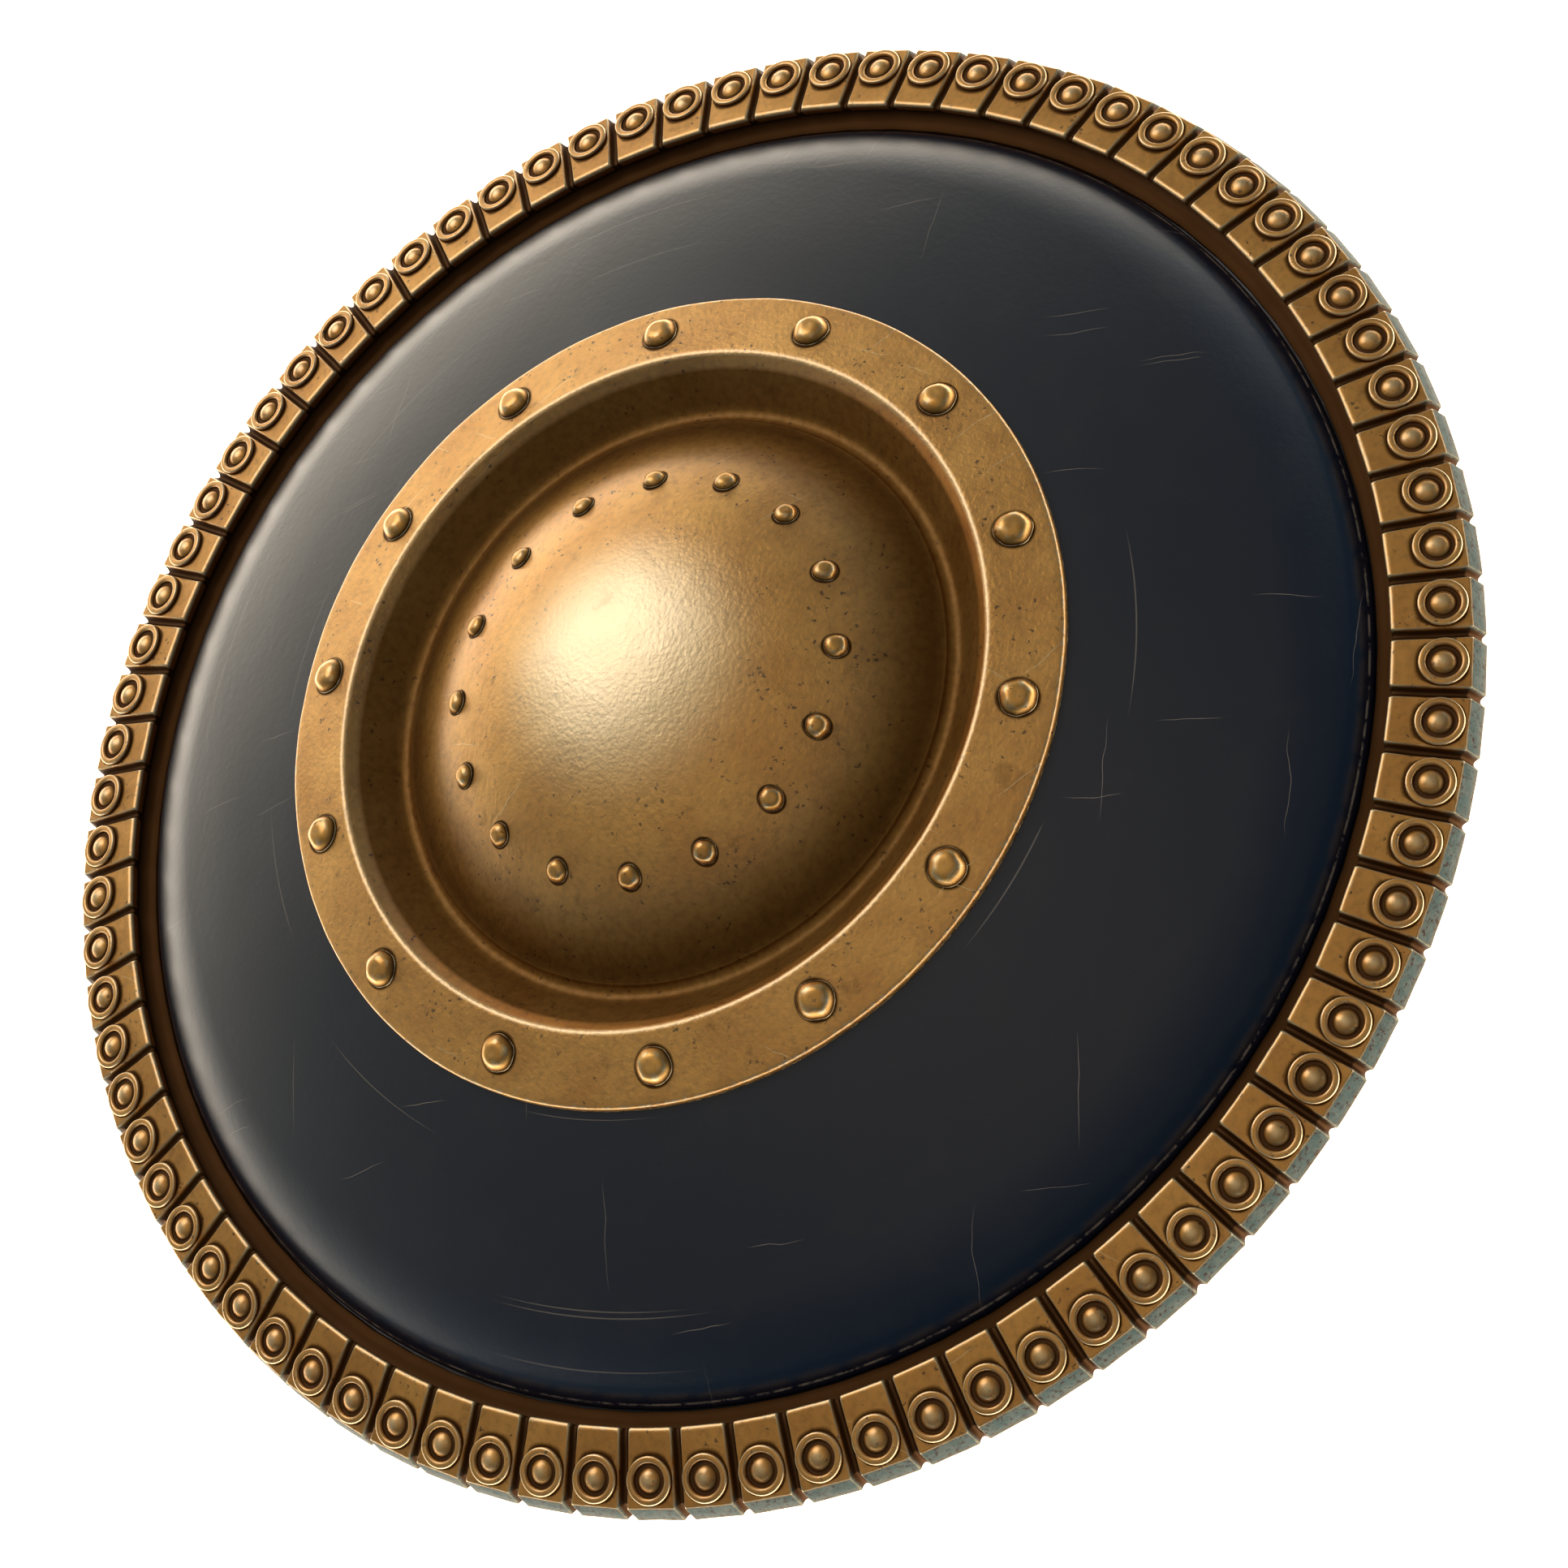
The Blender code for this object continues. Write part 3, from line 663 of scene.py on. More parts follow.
def grid(rows, columns):
    """Points of the block's grid at some rows and columns."""
    return [[block_point(column, *row) for column in columns] for row in rows]


def rim_block():
    """Points and faces of one block with half a groove on each side, its middle at +X."""
    last = MIDDLE_COLUMNS + GROOVE_COLUMNS
    around = grid(rim_rows(), range(-last, last + 1))
    left = grid(stud_rows(), range(-last, 1 - MIDDLE_COLUMNS))
    right = grid(stud_rows(), range(MIDDLE_COLUMNS, last + 1))
    points, faces = [], []
    for rows, closed in ((around, False), (left, False), (right, False), (stud_patch(), True)):
        faces += lattice(rows, len(points), closed)
        points += [spot for row in rows for spot in row]
    return np.array(points), faces


def build_rim(material):
    """All blocks as one casting."""
    block, block_faces = rim_block()
    points, faces = [], []
    for index in range(BLOCK_COUNT):
        angle = (2 * index + 1) * HALF_PITCH
        copy = block[:, :3].copy()
        copy[:, 0] = block[:, 0] * math.cos(angle) - block[:, 1] * math.sin(angle)
        copy[:, 1] = block[:, 0] * math.sin(angle) + block[:, 1] * math.cos(angle)
        points.append(copy)
        faces += [tuple(corner + index * len(block) for corner in face) for face in block_faces]
    mesh = mesh_from("rim_cast", np.concatenate(points), faces, np.tile(block[:, 3], BLOCK_COUNT))
    show("rim_cast", mesh, material, "rim", RIM_WAVES)


def slope_arc(start, first_slope, last_slope, run, steps):
    """An arc inwards from start while its slope eases, as (spot, slope) after each step."""
    bend_radius = run / (math.sin(first_slope) - math.sin(last_slope))
    spots = []
    for step in range(1, steps + 1):
        slope = first_slope + (last_slope - first_slope) * step / steps
        inward = bend_radius * (math.sin(first_slope) - math.sin(slope))
        rise = bend_radius * (math.cos(slope) - math.cos(first_slope))
        spots.append(((start[0] - inward, start[1] + rise), slope))
    return spots


def offset_down(spot, slope, distance):
    """A point at a distance under a surface that falls outwards at slope, square to it."""
    return (spot[0] - distance * math.sin(slope), spot[1] - distance * math.cos(slope))


def body_line(depth, fineness=1):
    """The body from its bend to the boss at a depth under its face, as (radius, height) spots."""
    wall_radius = ledge_radius() - EDGE_GAP
    crown_run = wall_radius - EDGE_BEND_RUN - SHOULDER_RUN - BOSS_RADIUS
    arcs = (
        (EDGE_SLOPE, SHOULDER_SLOPE, EDGE_BEND_RUN, BEND_STEPS * fineness),
        (SHOULDER_SLOPE, CROWN_SLOPE, SHOULDER_RUN, SHOULDER_STEPS * fineness),
        (CROWN_SLOPE, SEAT_SLOPE, crown_run, CROWN_STEPS * fineness),
    )
    start = (wall_radius, LEDGE_HEIGHT)
    line = []
    for first_slope, last_slope, run, steps in arcs:
        spots = slope_arc(start, first_slope, last_slope, run, steps)
        line += [offset_down(spot, slope, depth) for spot, slope in spots]
        start = spots[-1][0]
    return line


def seat_height(radius):
    """Height of the body's conical seat, on its face, at a radius under the boss's flange."""
    edge = body_line(0.0)[-1]
    return edge[1] + (edge[0] - radius) * math.tan(SEAT_SLOPE)


def build_body(material):
    """The dished sheet, its edge held in the rim's channel."""
    edge_radius = RIM_RADIUS - FOOT_WIDTH - EDGE_GAP
    edge_top = LEDGE_HEIGHT - LEDGE_THICKNESS - SEAT_GAP
    wall_radius = ledge_radius() - EDGE_GAP
    hole_radius = BOSS_RADIUS - FLANGE_WIDTH + SEAT_SETBACK
    hole_top = (hole_radius, seat_height(hole_radius))
    hole_back = offset_down(hole_top, SEAT_SLOPE, BODY_WALL)
    section = [point((edge_radius, edge_top - BODY_WALL), 1.0), point((edge_radius, edge_top), 1.0)]
    section += [point((wall_radius, edge_top), 1.0), point((wall_radius, LEDGE_HEIGHT), BODY_EDGE_GRIME)]
    face = [point(spot) for spot in body_line(0.0, FACE_FINENESS)]
    # A thin band by the edge is chipped bare, which also paints a highlight line
    face[1].z = -BODY_EDGE_CHIPS_AND_HIGHLIGHT
    back = [point(spot) for spot in body_line(BODY_WALL)]
    section += face
    section += straight(section[-1], point(hole_top), SEAT_STEPS)
    section += [point(hole_back)] + back[::-1]
    section += [point((wall_radius - BODY_WALL, edge_top - BODY_WALL), 1.0)]
    mesh = mesh_from("body_sheet", *turned(section, BODY_STEPS))
    show("body_sheet", mesh, material, "body", BODY_WAVES)


def boss_levels():
    """Flange edge, ridge, trough and apex of the boss's face as (radius, height)."""
    lift = (SEAT_GAP + FLANGE_THICKNESS) / math.cos(SEAT_SLOPE)
    edge = (BOSS_RADIUS, seat_height(BOSS_RADIUS) + lift)
    ridge = (BOSS_RADIUS - FLANGE_WIDTH, edge[1] + FLANGE_WIDTH * math.tan(SEAT_SLOPE))
    trough = (ridge[0] - TROUGH_RUN, ridge[1] - TROUGH_DEPTH)
    return edge, ridge, trough, (0.0, trough[1] + DOME_HEIGHT)


def wall_slope():
    """Slope of the boss's wall, which falls inwards from the ridge to the trough."""
    return math.atan2(TROUGH_DEPTH, TROUGH_RUN)


def trough_back():
    """The lowest point of the boss's back, under its trough."""
    trough = boss_levels()[2]
    return (trough[0], trough[1] - BOSS_WALL / math.cos(wall_slope()))


def dome_radius():
    """Radius of the sphere that the dome's face is cut from."""
    trough = boss_levels()[2]
    return (trough[0] ** 2 + DOME_HEIGHT ** 2) / (2.0 * DOME_HEIGHT)


def dome_spot(radius, thickness):
    """The spot of the dome at a radius, on its face or a thickness below it."""
    ball = dome_radius()
    centre = boss_levels()[3][1] - ball
    return (radius, centre + math.sqrt((ball - thickness) ** 2 - radius ** 2))


def flange_face():
    """The boss's section from the underside of its flange's edge to the top of its wall."""
    edge, ridge = boss_levels()[:2]
    slope, wall = SEAT_SLOPE, wall_slope()
    back = (edge[0], edge[1] - FLANGE_THICKNESS / math.cos(slope))
    inner = (edge[0] - FLANGE_EDGE_ROUND, edge[1] + FLANGE_EDGE_ROUND * math.tan(slope))
    ridge_start = (ridge[0] + RIDGE_ROUND * math.cos(slope), ridge[1] - RIDGE_ROUND * math.sin(slope))
    ridge_end = (ridge[0] - RIDGE_ROUND * math.cos(wall), ridge[1] - RIDGE_ROUND * math.sin(wall))
    section = [point(back, FLANGE_BACK_GRIME),
               point((edge[0], edge[1] - FLANGE_EDGE_ROUND), FLANGE_EDGE_GRIME)]
    section += arch(section[-1], point(inner), ARC_FULLNESS * FLANGE_EDGE_ROUND, SMALL_ARC_STEPS)
    section += straight(section[-1], point(ridge_start), FLANGE_STEPS)
    rounded = arch(section[-1], point(ridge_end), RIDGE_BOW, RIDGE_STEPS)
    # The ridge is painted bright, as wear and as a painted highlight
    for spot in rounded[1:-2]:
        spot.z = -RIDGE_WEAR_AND_HIGHLIGHT
    return section + rounded


def trough_and_dome(start):
    """The boss's section from the top of its wall through the trough and over the dome."""
    trough = boss_levels()[2]
    wall = wall_slope()
    cove_start = (trough[0] + COVE_WIDTH * math.cos(wall), trough[1] + COVE_WIDTH * math.sin(wall))
    cove_end = dome_spot(trough[0] - COVE_WIDTH, 0.0)
    bead_end = dome_spot(cove_end[0] - BEAD_WIDTH, 0.0)
    # The wall and the trough are darkened as dirt and painted shade
    section = straight(start, point(cove_start, WALL_GRIME_AND_SHADE), WALL_STEPS)
    for spot in section[1:]:
        spot.z = WALL_GRIME_AND_SHADE
    section += arch(section[-1], point(cove_end, WALL_GRIME_AND_SHADE), -ARC_FULLNESS * COVE_WIDTH, COVE_STEPS)
    section += arch(section[-1], point(bead_end, DOME_FOOT_GRIME_AND_SHADE), BEAD_RISE, SMALL_ARC_STEPS)
    for ring in range(1, DOME_RINGS + 1):
        radius = bead_end[0] * (1.0 - ring / DOME_RINGS)
        # The dome darkens towards its foot as dirt and painted shade, and its crown is paler as wear and a
        # painted highlight
        below_crown = (radius / CROWN_RADIUS - CROWN_SHARE) / (1.0 - CROWN_SHARE)
        dirt_wear_and_painted_light = DOME_FOOT_GRIME_AND_SHADE * eased((radius - FOOT_START) / (bead_end[0] - FOOT_START))
        dirt_wear_and_painted_light -= CROWN_WEAR_AND_HIGHLIGHT * (1.0 - eased(below_crown))
        section.append(point(dome_spot(radius, 0.0), dirt_wear_and_painted_light))
    return section


def build_boss(material):
    """Flange, wall, trough and dome as one raised sheet."""
    ridge, trough = boss_levels()[1:3]
    section = flange_face()
    section += trough_and_dome(section[-1])
    for ring in range(BACK_RINGS):
        section.append(point(dome_spot(trough[0] * ring / BACK_RINGS, BOSS_WALL), BACK_GRIME))
    lowest = point(trough_back(), BACK_WALL_GRIME)
    under_ridge = point((ridge[0], ridge[1] - FLANGE_THICKNESS / math.cos(SEAT_SLOPE)), BACK_WALL_GRIME)
    section += [lowest] + straight(lowest, under_ridge, SMALL_ARC_STEPS)
    mesh = mesh_from("boss_raised", *turned(section, BOSS_STEPS))
    show("boss_raised", mesh, material, "boss", BOSS_WAVES)


def rivet_section(radius, height, tail_depth):
    """A rivet with its head's underside at height 0 and its hammered tail at a depth below it."""
    edge = point((radius, 0.0), 1.0)
    tip = point((0.0, height), 0.0)
    shank = SHANK_SHARE * radius
    tail_edge = point((TAIL_SHARE * radius, -tail_depth), TAIL_EDGE_GRIME)
    section = [edge] + arch(edge, tip, HEAD_FULLNESS * radius, HEAD_STEPS)
    # Each head darkens towards its edge as painted shade, and is worn paler towards its top
    for spot in section:
        share = spot.x / radius
        spot.z = share ** HEAD_GRIME_AND_SHADE_FALL - HEAD_WEAR * (1.0 - share)
    section += [point((0.0, -tail_depth - TAIL_RISE), TAIL_GRIME)]
    section += arch(section[-1], tail_edge, ARC_FULLNESS * TAIL_RISE, SMALL_ARC_STEPS)
    return section + [point((shank, -tail_depth), 1.0), point((shank, 0.0), 1.0)]


def rivet_ring(prefix, count, seat, slope, section, material):
    """Equal rivets around a seat at (radius, height), square to a face that falls at slope."""
    for index in range(count):
        name = f"{prefix}_{index + 1:02d}"
        points, faces, dirt_wear_and_painted_light = turned(section, RIVET_STEPS)
        # Hammering leaves each head a little out of round
        seed = Vector((index, count, 0.0))
        for spot in points:
            around = Vector((spot[0], spot[1], 0.0))
            if around.length > 0.0:
                wave = noise.noise(around.normalized() * OUTLINE_WAVES + seed)
                spot[:2] *= 1.0 + HAMMERED_OUTLINE * wave
        turn = Matrix.Rotation(2.0 * math.pi * index / count, 4, "Z")
        stand = Matrix.Translation((seat[0], 0.0, seat[1])) @ Matrix.Rotation(slope, 4, "Y")
        mesh = mesh_from(name + "_head", points, faces, dirt_wear_and_painted_light)
        mesh.transform(turn @ stand @ Matrix.Translation((0.0, 0.0, SEAT_GAP)))
        show(name + "_head", mesh, material, name, RIVET_WAVES)


def build_rivets(material):
    """The rivets around the boss's flange and around its dome."""
    edge = boss_levels()[0]
    rise = (edge[0] - FLANGE_RIVET_CIRCLE) * math.tan(SEAT_SLOPE)
    seat = (FLANGE_RIVET_CIRCLE, edge[1] + rise)
    through_both = FLANGE_THICKNESS + BODY_WALL + 2.0 * SEAT_GAP
    large = rivet_section(FLANGE_HEAD_RADIUS, FLANGE_HEAD_HEIGHT, through_both)
    rivet_ring("flange_rivet", FLANGE_RIVET_COUNT, seat, SEAT_SLOPE, large, material)
    slope = math.asin(DOME_RIVET_CIRCLE / dome_radius())
    small = rivet_section(DOME_HEAD_RADIUS, DOME_HEAD_HEIGHT, BOSS_WALL + SEAT_GAP)
    rivet_ring("dome_rivet", DOME_RIVET_COUNT, dome_spot(DOME_RIVET_CIRCLE, 0.0), slope, small, material)


def grip_stations():
    """Stations from the grip's end to its middle, as (X, Z, width, thickness)."""
    circle = FLANGE_RIVET_CIRCLE
    corner_drop = 0.5 * GRIP_WIDTH * math.tan(math.pi / PACKED_SIDES) * math.sin(SEAT_SLOPE)
    depth = BODY_WALL + SEAT_GAP + corner_drop + 0.5 * GRIP_THICKNESS
    pad = np.array((circle, seat_height(circle) - depth / math.cos(SEAT_SLOPE)))
    half_pad = np.array((math.cos(SEAT_SLOPE), -math.sin(SEAT_SLOPE))) * (0.5 * PAD_LENGTH)
    lowest = trough_back()
    bridge = lowest[1] - GRIP_CLEARANCE - 0.5 * GRIP_THICKNESS
    knee = (0.5 * (lowest[0] + circle), bridge)
    half_hand = 0.5 * HAND_LENGTH
    bar = [(*spot, GRIP_WIDTH, GRIP_THICKNESS) for spot in (pad + half_pad, pad - half_pad, knee)]
    bar.append((half_hand + HAND_THICKNESS, bridge, GRIP_WIDTH, GRIP_THICKNESS))
    hand = [(half_hand - 0.5 * HAND_THICKNESS, bridge, HAND_WIDTH, HAND_THICKNESS),
            (0.0, bridge, HAND_WIDTH, HAND_THICKNESS)]
    return np.array(bar + hand)


def grip_line():
    """The whole grip in even steps, its bends eased."""
    half = grip_stations()
    stations = np.concatenate([half, half[-2::-1] * (-1.0, 1.0, 1.0, 1.0)])
    lengths = np.linalg.norm(np.diff(stations[:, :2], axis=0), axis=1)
    reach = np.concatenate([[0.0], np.cumsum(lengths)])
    steps = int(round(reach[-1] / GRIP_STEP))
    even = np.linspace(0.0, reach[-1], steps + 1)
    line = np.stack([np.interp(even, reach, column) for column in stations.T], axis=1)
    window = np.hanning(GRIP_BEND_STEPS + 2)[1:-1]
    window /= window.sum()
    margin = GRIP_BEND_STEPS // 2
    smooth = np.stack([np.convolve(column, window, mode="valid") for column in line.T], axis=1)
    return np.concatenate([line[:margin], smooth, line[-margin:]])


def build_grip(material):
    """The bowed bar across the back of the boss, with a swelled hand part."""
    line = grip_line()
    ways = np.gradient(line[:, :2], axis=0)
    ways /= np.linalg.norm(ways, axis=1)[:, None]
    sines, cosines = rotations(GRIP_SIDES)
    power = 2.0 / GRIP_SQUARENESS
    sides = np.sign(cosines) * np.abs(cosines) ** power
    rises = np.sign(sines) * np.abs(sines) ** power
    rings = []
    for (x, z, width, thickness), way in zip(line, ways):
        upward = rises * 0.5 * thickness
        rings.append(np.stack([x - way[1] * upward, sides * 0.5 * width, z + way[0] * upward], axis=1))
    points = np.concatenate(rings)
    faces = lattice(rings, 0, True)
    last = len(points) - GRIP_SIDES
    faces += [tuple(range(GRIP_SIDES)), tuple(range(last, len(points)))]
    mesh = mesh_from("grip_bar", points, faces, np.full(len(points), GRIP_GRIME))
    show("grip_bar", mesh, material, "grip", GRIP_WAVES)


class Nodes:
    """Short calls for the nodes of a material or of the studio."""

    def __init__(self, tree, place):
        self.tree = tree
        self.place = self.node("ShaderNodeTexCoord", {})[place]

    def node(self, kind, inputs, **settings):
        """The outputs of a new node with its settings, its inputs given by name or number."""
        made = self.tree.nodes.new(kind)
        for name, value in settings.items():
            setattr(made, name, value)
        self.fill(made, inputs)
        return made.outputs

    def fill(self, node, inputs):
        """Link a node's inputs to other nodes' outputs, or set them to plain values."""
        for name, value in inputs.items():
            socket = node.inputs[name]
            if isinstance(value, bpy.types.NodeSocket):
                self.tree.links.new(value, socket)
            elif socket.type == "RGBA":
                socket.default_value = value + (1.0,)
            else:
                socket.default_value = value

    def math(self, operation, first, second=0.0):
        """The result of an operation on one or two values."""
        return self.node("ShaderNodeMath", {0: first, 1: second}, operation=operation)["Value"]

    def plus(self, first, second):
        """A sum."""
        return self.math("ADD", first, second)

    def times(self, first, second):
        """A product."""
        return self.math("MULTIPLY", first, second)

    def larger(self, first, second):
        """The larger of two values."""
        return self.math("MAXIMUM", first, second)

    def along(self, way):
        """How far the place lies along a way."""
        inputs = {0: self.place, 1: way}
        return self.node("ShaderNodeVectorMath", inputs, operation="DOT_PRODUCT")["Value"]

    def limits(self, value, low, high, low_out=0.0, high_out=1.0):
        """The value spread from low to high onto another range, and held at its ends."""
        inputs = {"Value": value, "From Min": low, "From Max": high, "To Min": low_out, "To Max": high_out}
        return self.node("ShaderNodeMapRange", inputs, interpolation_type="SMOOTHSTEP")["Result"]

    def spread(self, noise, low=0.0, high=1.0):
        """Noise spread over a range."""
        return self.limits(noise, 0.3, 0.7, low, high)

    def blend(self, share, first, second):
        """A colour between two others."""
        return self.node("ShaderNodeMix", {0: share, 6: first, 7: second}, data_type="RGBA")[2]

    def layers(self, colour, *layers):
        """A colour with layers over it, each (share, colour), the last one on top."""
        for share, layer in layers:
            colour = self.blend(share, colour, layer)
        return colour


class Finish(Nodes):
    """A material in the making."""

    def __init__(self, name):
        self.material = bpy.data.materials.new(name)
        self.material.use_nodes = True
        super().__init__(self.material.node_tree, "Object")
        self.shader = self.tree.nodes["Principled BSDF"]

    def mark(self, name):
        """A value stored in the mesh."""
        return self.node("ShaderNodeAttribute", {}, attribute_name=name)["Fac"]

    def moved(self, shift, turn=0.0):
        """The place on the surface, moved and turned about Z."""
        inputs = {"Vector": self.place, "Location": (shift, shift, shift), "Rotation": (0.0, 0.0, turn)}
        return self.node("ShaderNodeMapping", inputs)["Vector"]

    def noise(self, size, detail=3.0, roughness=0.6, place=None):
        """Cloudy noise of a size in metres."""
        inputs = {"Vector": place or self.place, "Scale": 1.0 / size, "Detail": detail,
                  "Roughness": roughness}
        return self.node("ShaderNodeTexNoise", inputs)["Fac"]

    def specks(self, size, share, shift):
        """Small ragged specks in clusters; share is their width over the size of their cells."""
        place = self.moved(shift)
        cells = self.node("ShaderNodeTexVoronoi", {"Vector": place, "Scale": 1.0 / size})
        ragged = self.plus(cells["Distance"], self.noise(0.3 * size, 1.0, place=place))
        spots = self.limits(ragged, 0.5 + share, 0.5 + 0.5 * share)
        return self.times(spots, self.limits(self.noise(5.0 * size, 2.0, place=place), 0.47, 0.57))

    def patches(self, size, low, high, low_out=0.0, high_out=1.0):
        """Ragged patches of a size in metres, where rough noise rises from low to high."""
        return self.limits(self.noise(size, 5.0, 0.7), low, high, low_out, high_out)

    def bent(self, place, cloud, way):
        """A place in metres, pushed along a way by a cloudy value so that straight lines bend."""
        inputs = {0: cloud, 1: way, 2: place}
        return self.node("ShaderNodeVectorMath", inputs, operation="MULTIPLY_ADD")["Vector"]

    def scratches(self, place, length, width, share):
        """Thin scratches along X of a place in metres; share is how many of their cells have one."""
        inputs = {"Vector": place, "Scale": (SCRATCH_FILL / length, SCRATCH_FILL / width, 1.0)}
        stretched = self.node("ShaderNodeMapping", inputs)["Vector"]
        inputs = {"Vector": stretched, "Scale": 1.0}
        cells = self.node("ShaderNodeTexVoronoi", inputs, voronoi_dimensions="2D")
        chance = self.node("ShaderNodeSeparateColor", {0: cells["Color"]})[0]
        kept = self.math("GREATER_THAN", chance, 1.0 - share)
        return self.times(kept, self.limits(cells["Distance"], 0.40, 0.20))

    def bent_scratches(self, cloud, bend, kinds):
        """Bent scratches of two kinds, each (shift, turn, length, width, share)."""
        first, second = [self.scratches(self.bent(self.moved(shift, turn), cloud, bend), *sizes)
                         for shift, turn, *sizes in kinds]
        return self.larger(first, second)

    def polar(self):
        """Distance from the middle of the shield and the angle around it."""
        x, y = self.along((1.0, 0.0, 0.0)), self.along((0.0, 1.0, 0.0))
        squares = self.plus(self.times(x, x), self.times(y, y))
        return self.math("SQRT", squares), self.math("ARCTAN2", y, x)

    def relief(self, height, depth):
        """Bump of a depth in metres."""
        bump = self.node("ShaderNodeBump", {"Strength": 1.0, "Distance": depth, "Height": height})
        self.fill(self.shader, {"Normal": bump["Normal"]})

    def coat(self, weight, roughness, ior):
        """A clear coat."""
        self.fill(self.shader, {"Coat Weight": weight, "Coat Roughness": roughness, "Coat IOR": ior})

    def surface(self, colour, roughness, metallic):
        """Give the shader its colour, roughness and metallic value."""
        self.fill(self.shader, {"Base Color": colour, "Roughness": roughness, "Metallic": metallic})
        return self.material


def shade_and_dirt_around_rivets(finish, circle, count, radius):
    """Dirt and painted shadow that ring the rivets of a circle."""
    distance, angle = finish.polar()
    pitch = 2.0 * math.pi / count
    beside = finish.times(finish.math("PINGPONG", angle, 0.5 * pitch), circle)
    inwards = finish.math("SUBTRACT", distance, circle)
    squares = finish.plus(finish.times(beside, beside), finish.times(inwards, inwards))
    return finish.limits(finish.math("SQRT", squares), RIVET_HALO * radius, radius)


def weathering(finish):
    """Where weathering covers the rim's outer wall."""
    height = finish.along((0.0, 0.0, 1.0))
    low = finish.limits(height, RIM_EDGE_HEIGHT, RIM_EDGE_HEIGHT - EDGE_ROUND)
    outside = finish.limits(finish.polar()[0], RIM_RADIUS - FOOT_WIDTH, RIM_RADIUS - 0.5 * FOOT_WIDTH)
    clean = finish.limits(finish.mark("dirt_wear_and_painted_light"), 0.5, 0.9, 1.0, 0.0)
    return finish.times(finish.times(low, outside), clean)


def recess_dirt_and_shade(finish, dirt_wear_and_painted_light, edge, riveted):
    """Where dirt and painted shade fill hollows and creases and, on the boss, ring the rivets."""
    # Creases of the mesh are darkened, as dirt and painted shade
    creases = finish.limits(edge, -0.04, -0.20)
    dirt_and_shade = finish.larger(finish.limits(dirt_wear_and_painted_light, 0.05, 0.80), creases)
    if not riveted:
        return dirt_and_shade
    large = shade_and_dirt_around_rivets(finish, FLANGE_RIVET_CIRCLE, FLANGE_RIVET_COUNT, FLANGE_HEAD_RADIUS)
    small = shade_and_dirt_around_rivets(finish, DOME_RIVET_CIRCLE, DOME_RIVET_COUNT, DOME_HEAD_RADIUS)
    return finish.larger(dirt_and_shade, finish.larger(large, small))


def rubbed_and_highlit_parts(finish, mark, edge, dirt_and_shade, fine):
    """Where the metal is worn bright on bare edges, and where the mesh marks wear and painted highlights.
    """
    bare_edge = finish.math("SUBTRACT", edge, finish.times(dirt_and_shade, 0.3))
    uneven = finish.plus(bare_edge, finish.spread(fine, -0.04, 0.04))
    worn = finish.limits(uneven, 0.04, 0.16)
    return finish.larger(worn, finish.limits(mark, 0.0, -1.0))


def weathered_over(finish, colour, edge):
    """The colour under the outer wall's pale crust with dark pits, and where that crust is."""
    cover = weathering(finish)
    pitted = finish.limits(finish.noise(PIT_SIZE, 5.0, 0.8), 0.53, 0.60)
    patchy = finish.patches(CRUST_SIZE, 0.35, 0.65)
    crust = finish.layers(WEATHERED, (patchy, WEATHERED_PALE), (pitted, CRUST))
    thick = finish.times(cover, finish.limits(edge, 0.10, 0.30, 1.0, 0.8))
    return finish.blend(thick, colour, crust), cover


def bronze(name, tones, polish, wax_ior, skin, weathered=False, riveted=False):
    """Worn bronze under old wax, with painted shade in its hollows and painted highlights where the mesh
    marks them; polish is its roughness, skin the relief of its hammering or casting.
    """
    finish = Finish(name)
    edge = finish.mark("edge")
    mark = finish.mark("dirt_wear_and_painted_light")
    cloud = finish.noise(CLOUD_SIZE)
    fine = finish.noise(FINE_SIZE)
    stain = finish.patches(STAIN_SIZE, 0.56, 0.72)
    speck = finish.specks(SPECK_SIZE, 0.19, 3.1)
    scratch = finish.bent_scratches(cloud, BRONZE_BEND, BRONZE_SCRATCHES)
    scratch = finish.times(scratch, finish.limits(mark, 0.5, 0.0))
    dirt_wear_and_painted_light = finish.plus(mark, finish.spread(fine, -0.012, 0.012))
    dirt_and_shade = recess_dirt_and_shade(finish, dirt_wear_and_painted_light, edge, riveted)
    rubbed_and_highlit = rubbed_and_highlit_parts(finish, mark, edge, dirt_and_shade, fine)
    light_tone, deep_tone = tones
    colour = finish.layers(
        deep_tone,
        (finish.spread(cloud), light_tone),
        (finish.limits(fine, 0.40, 0.80, 0.0, 0.30), BRONZE_STAIN),
        (finish.times(stain, 0.40), BRONZE_STAIN),
        (finish.times(speck, 0.8), PATINA),
        # In hollows the patina is also painted shade, and so is the soot in the deepest ones; the worn
        # colour is wear and painted highlights
        (dirt_and_shade, PATINA),
        (finish.limits(mark, 0.90, 1.0), SOOT_AND_SHADE),
        (finish.times(finish.larger(rubbed_and_highlit, scratch), 0.9), BRONZE_WORN_AND_HIGHLIGHT),
    )
    dull = finish.larger(dirt_and_shade, finish.times(stain, 0.3))
    if weathered:
        colour, cover = weathered_over(finish, colour, edge)
        dull = finish.larger(dull, cover)
    gloss = finish.spread(cloud, polish - 0.03, polish + 0.03)
    bare = finish.limits(dirt_and_shade, 0.0, 1.0, 1.0, 0.25)
    finish.relief(finish.times(finish.noise(skin[0], 3.0, 0.55), bare), skin[1])
    finish.coat(finish.limits(dull, 0.0, 0.9, 1.0, 0.0), WAX_POLISH * polish, wax_ior)
    roughness = finish.plus(gloss, finish.times(dull, 0.22))
    return finish.surface(colour, roughness, finish.limits(dull, 0.0, 1.0, 1.0, 0.9))


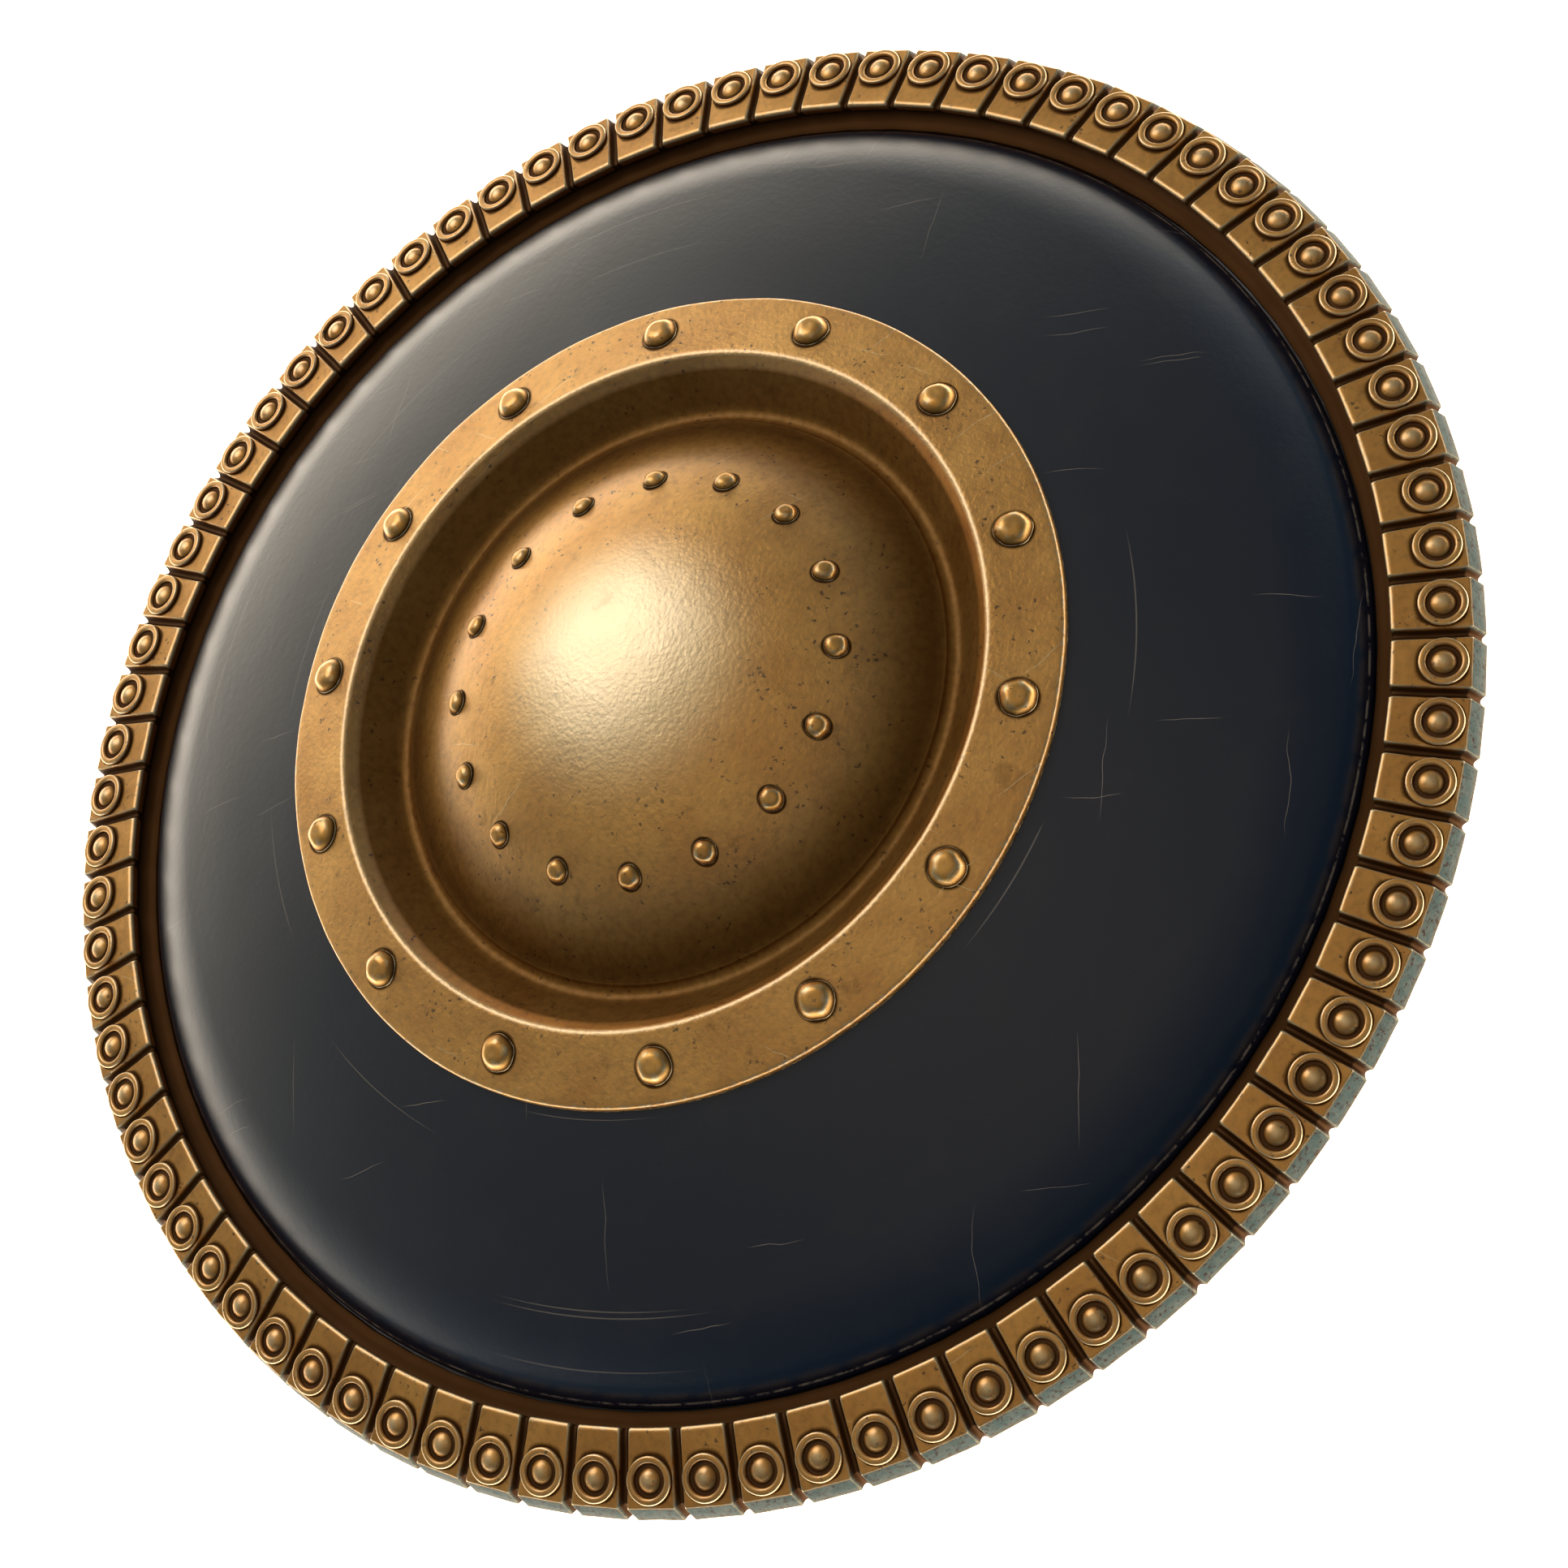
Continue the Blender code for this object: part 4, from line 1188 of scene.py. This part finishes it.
def dark_paint():
    """Smooth charcoal paint with hairline scratches and arcs around its middle."""
    finish = Finish("dark paint")
    distance, angle = finish.polar()
    around = finish.node("ShaderNodeCombineXYZ", {"X": finish.times(angle, RIM_RADIUS), "Y": distance})
    cloud = finish.noise(PAINT_CLOUD_SIZE)
    dust = finish.patches(DUST_SIZE, 0.50, 0.80, 0.0, 0.6)
    arcs = finish.scratches(around["Vector"], *PAINT_ARCS)
    hairs = finish.bent_scratches(cloud, PAINT_BEND, PAINT_SCRATCHES)
    chipped = finish.patches(CHIP_SIZE, 0.42, 0.58)
    # Chips along the body's edge show bare metal and also paint a highlight line
    rubbed_and_highlit = finish.times(finish.limits(finish.mark("dirt_wear_and_painted_light"), -0.35, -0.75), chipped)
    bare = finish.larger(finish.larger(hairs, finish.times(arcs, 0.5)), rubbed_and_highlit)
    colour = finish.layers(PAINT_COLOUR, (dust, PAINT_DUST), (bare, SCRATCH_COLOUR))
    gloss = finish.spread(cloud, PAINT_POLISH, PAINT_POLISH + 0.06)
    roughness = finish.plus(gloss, finish.times(dust, 0.08))
    finish.relief(finish.noise(PAINT_SKIN[0]), PAINT_SKIN[1])
    finish.fill(finish.shader, {"IOR": PAINT_IOR})
    finish.coat(1.0, PAINT_POLISH, PAINT_IOR)
    return finish.surface(colour, roughness, 0.0)


def forged_iron():
    """Blackened iron with a little rust."""
    finish = Finish("forged iron")
    rust = finish.patches(RUST_SIZE, 0.52, 0.68, 0.0, 0.8)
    worn = finish.limits(finish.mark("edge"), 0.05, 0.20, 0.0, 0.6)
    colour = finish.layers(IRON_COLOUR, (rust, RUST_COLOUR), (worn, SCRATCH_COLOUR))
    roughness = finish.limits(rust, 0.0, 0.8, 0.42, 0.75)
    finish.relief(finish.noise(IRON_SKIN[0], 5.0), IRON_SKIN[1])
    return finish.surface(colour, roughness, finish.limits(rust, 0.0, 0.8, 0.9, 0.2))


def build_floor():
    """A plain pale floor."""
    bpy.ops.mesh.primitive_circle_add(vertices=FLOOR_SIDES, radius=FLOOR_RADIUS, fill_type="NGON")
    floor = bpy.context.object
    floor.name = "floor"
    finish = Finish("pale floor")
    colour = finish.blend(finish.spread(finish.noise(0.8), 0.0, 0.03), FLOOR_COLOUR, FLOOR_SHADE)
    finish.fill(finish.shader, {"Emission Color": FLOOR_GLOW, "Emission Strength": 1.0})
    floor.data.materials.append(finish.surface(colour, 0.6, 0.0))


def softbox(name, place, sides, brightness, colour=(1.0, 1.0, 1.0)):
    """A soft light with (width, height) sides that looks at the shield from its place."""
    light = bpy.data.lights.new(name, "AREA")
    light.shape = "RECTANGLE"
    light.size, light.size_y = sides
    light.color = colour
    light.energy = brightness * math.pi * sides[0] * sides[1]
    lamp = bpy.data.objects.new(name, light)
    azimuth, elevation = math.radians(place[0]), math.radians(place[1])
    flat = math.cos(elevation)
    direction = Vector((flat * math.cos(azimuth), flat * math.sin(azimuth), math.sin(elevation)))
    lamp.location = direction * place[2]
    lamp.rotation_euler = direction.to_track_quat("Z", "Y").to_euler()
    bpy.context.scene.collection.objects.link(lamp)
    return lamp


def build_lights():
    """A key light on the far side, and light for the floor that no metal mirrors."""
    softbox("key", KEY_PLACE, KEY_SIDES, KEY_BRIGHTNESS, KEY_COLOUR)
    floor_light = softbox("floor light", FLOOR_LIGHT_PLACE, FLOOR_LIGHT_SIDES, FLOOR_LIGHT_BRIGHTNESS)
    floor_light.visible_glossy = False


def build_studio():
    """Light from all round, brightest along the horizon: warm on the far side and cool on the near one."""
    world = bpy.data.worlds.new("studio")
    world.use_nodes = True
    studio = Nodes(world.node_tree, "Generated")
    towards = studio.along(BRIGHT_SIDE)
    above = studio.larger(studio.along((0.0, 0.0, 1.0)), 0.0)
    around = studio.blend(studio.limits(towards, SIDE_START, SIDE_END), DIM_ABOVE, BRIGHT_ABOVE)
    high = studio.blend(studio.math("POWER", above, OVERHEAD_POWER), around, OVERHEAD)
    narrow = studio.math("POWER", studio.larger(towards, 0.0), HORIZON_POWER)
    horizon = studio.blend(narrow, DIM_HORIZON, BRIGHT_HORIZON)
    low = studio.math("EXPONENT", studio.times(above, -HORIZON_FALL))
    studio.fill(studio.tree.nodes["Background"], {"Color": studio.blend(low, high, horizon)})
    bpy.context.scene.world = world


def build_camera():
    """The camera at the photo's viewing angle."""
    data = bpy.data.cameras.new("camera")
    data.lens = CAMERA_LENS
    data.sensor_width = CAMERA_SENSOR
    camera = bpy.data.objects.new("camera", data)
    level = (CAMERA_TARGET - CAMERA_PLACE).to_track_quat("-Z", "Y").to_matrix().to_4x4()
    camera.matrix_world = Matrix.Translation(CAMERA_PLACE) @ level @ Matrix.Rotation(CAMERA_ROLL, 4, "Z")
    bpy.context.scene.collection.objects.link(camera)
    bpy.context.scene.camera = camera


def build_shield():
    """Every piece of the shield with its finish."""
    build_rim(bronze("cast bronze", COPPERY, polish=0.39, wax_ior=1.70, skin=CAST_SKIN, weathered=True))
    build_body(dark_paint())
    build_boss(bronze("hammered bronze", BRASSY, polish=0.41, wax_ior=1.95, skin=HAMMERED_SKIN,
                      riveted=True))
    build_rivets(bronze("rivet bronze", BRASSY, polish=0.36, wax_ior=1.55, skin=RIVET_SKIN))
    build_grip(forged_iron())


build_shield()
build_floor()
build_lights()
build_studio()
build_camera()
bpy.context.scene.view_settings.view_transform = "Standard"
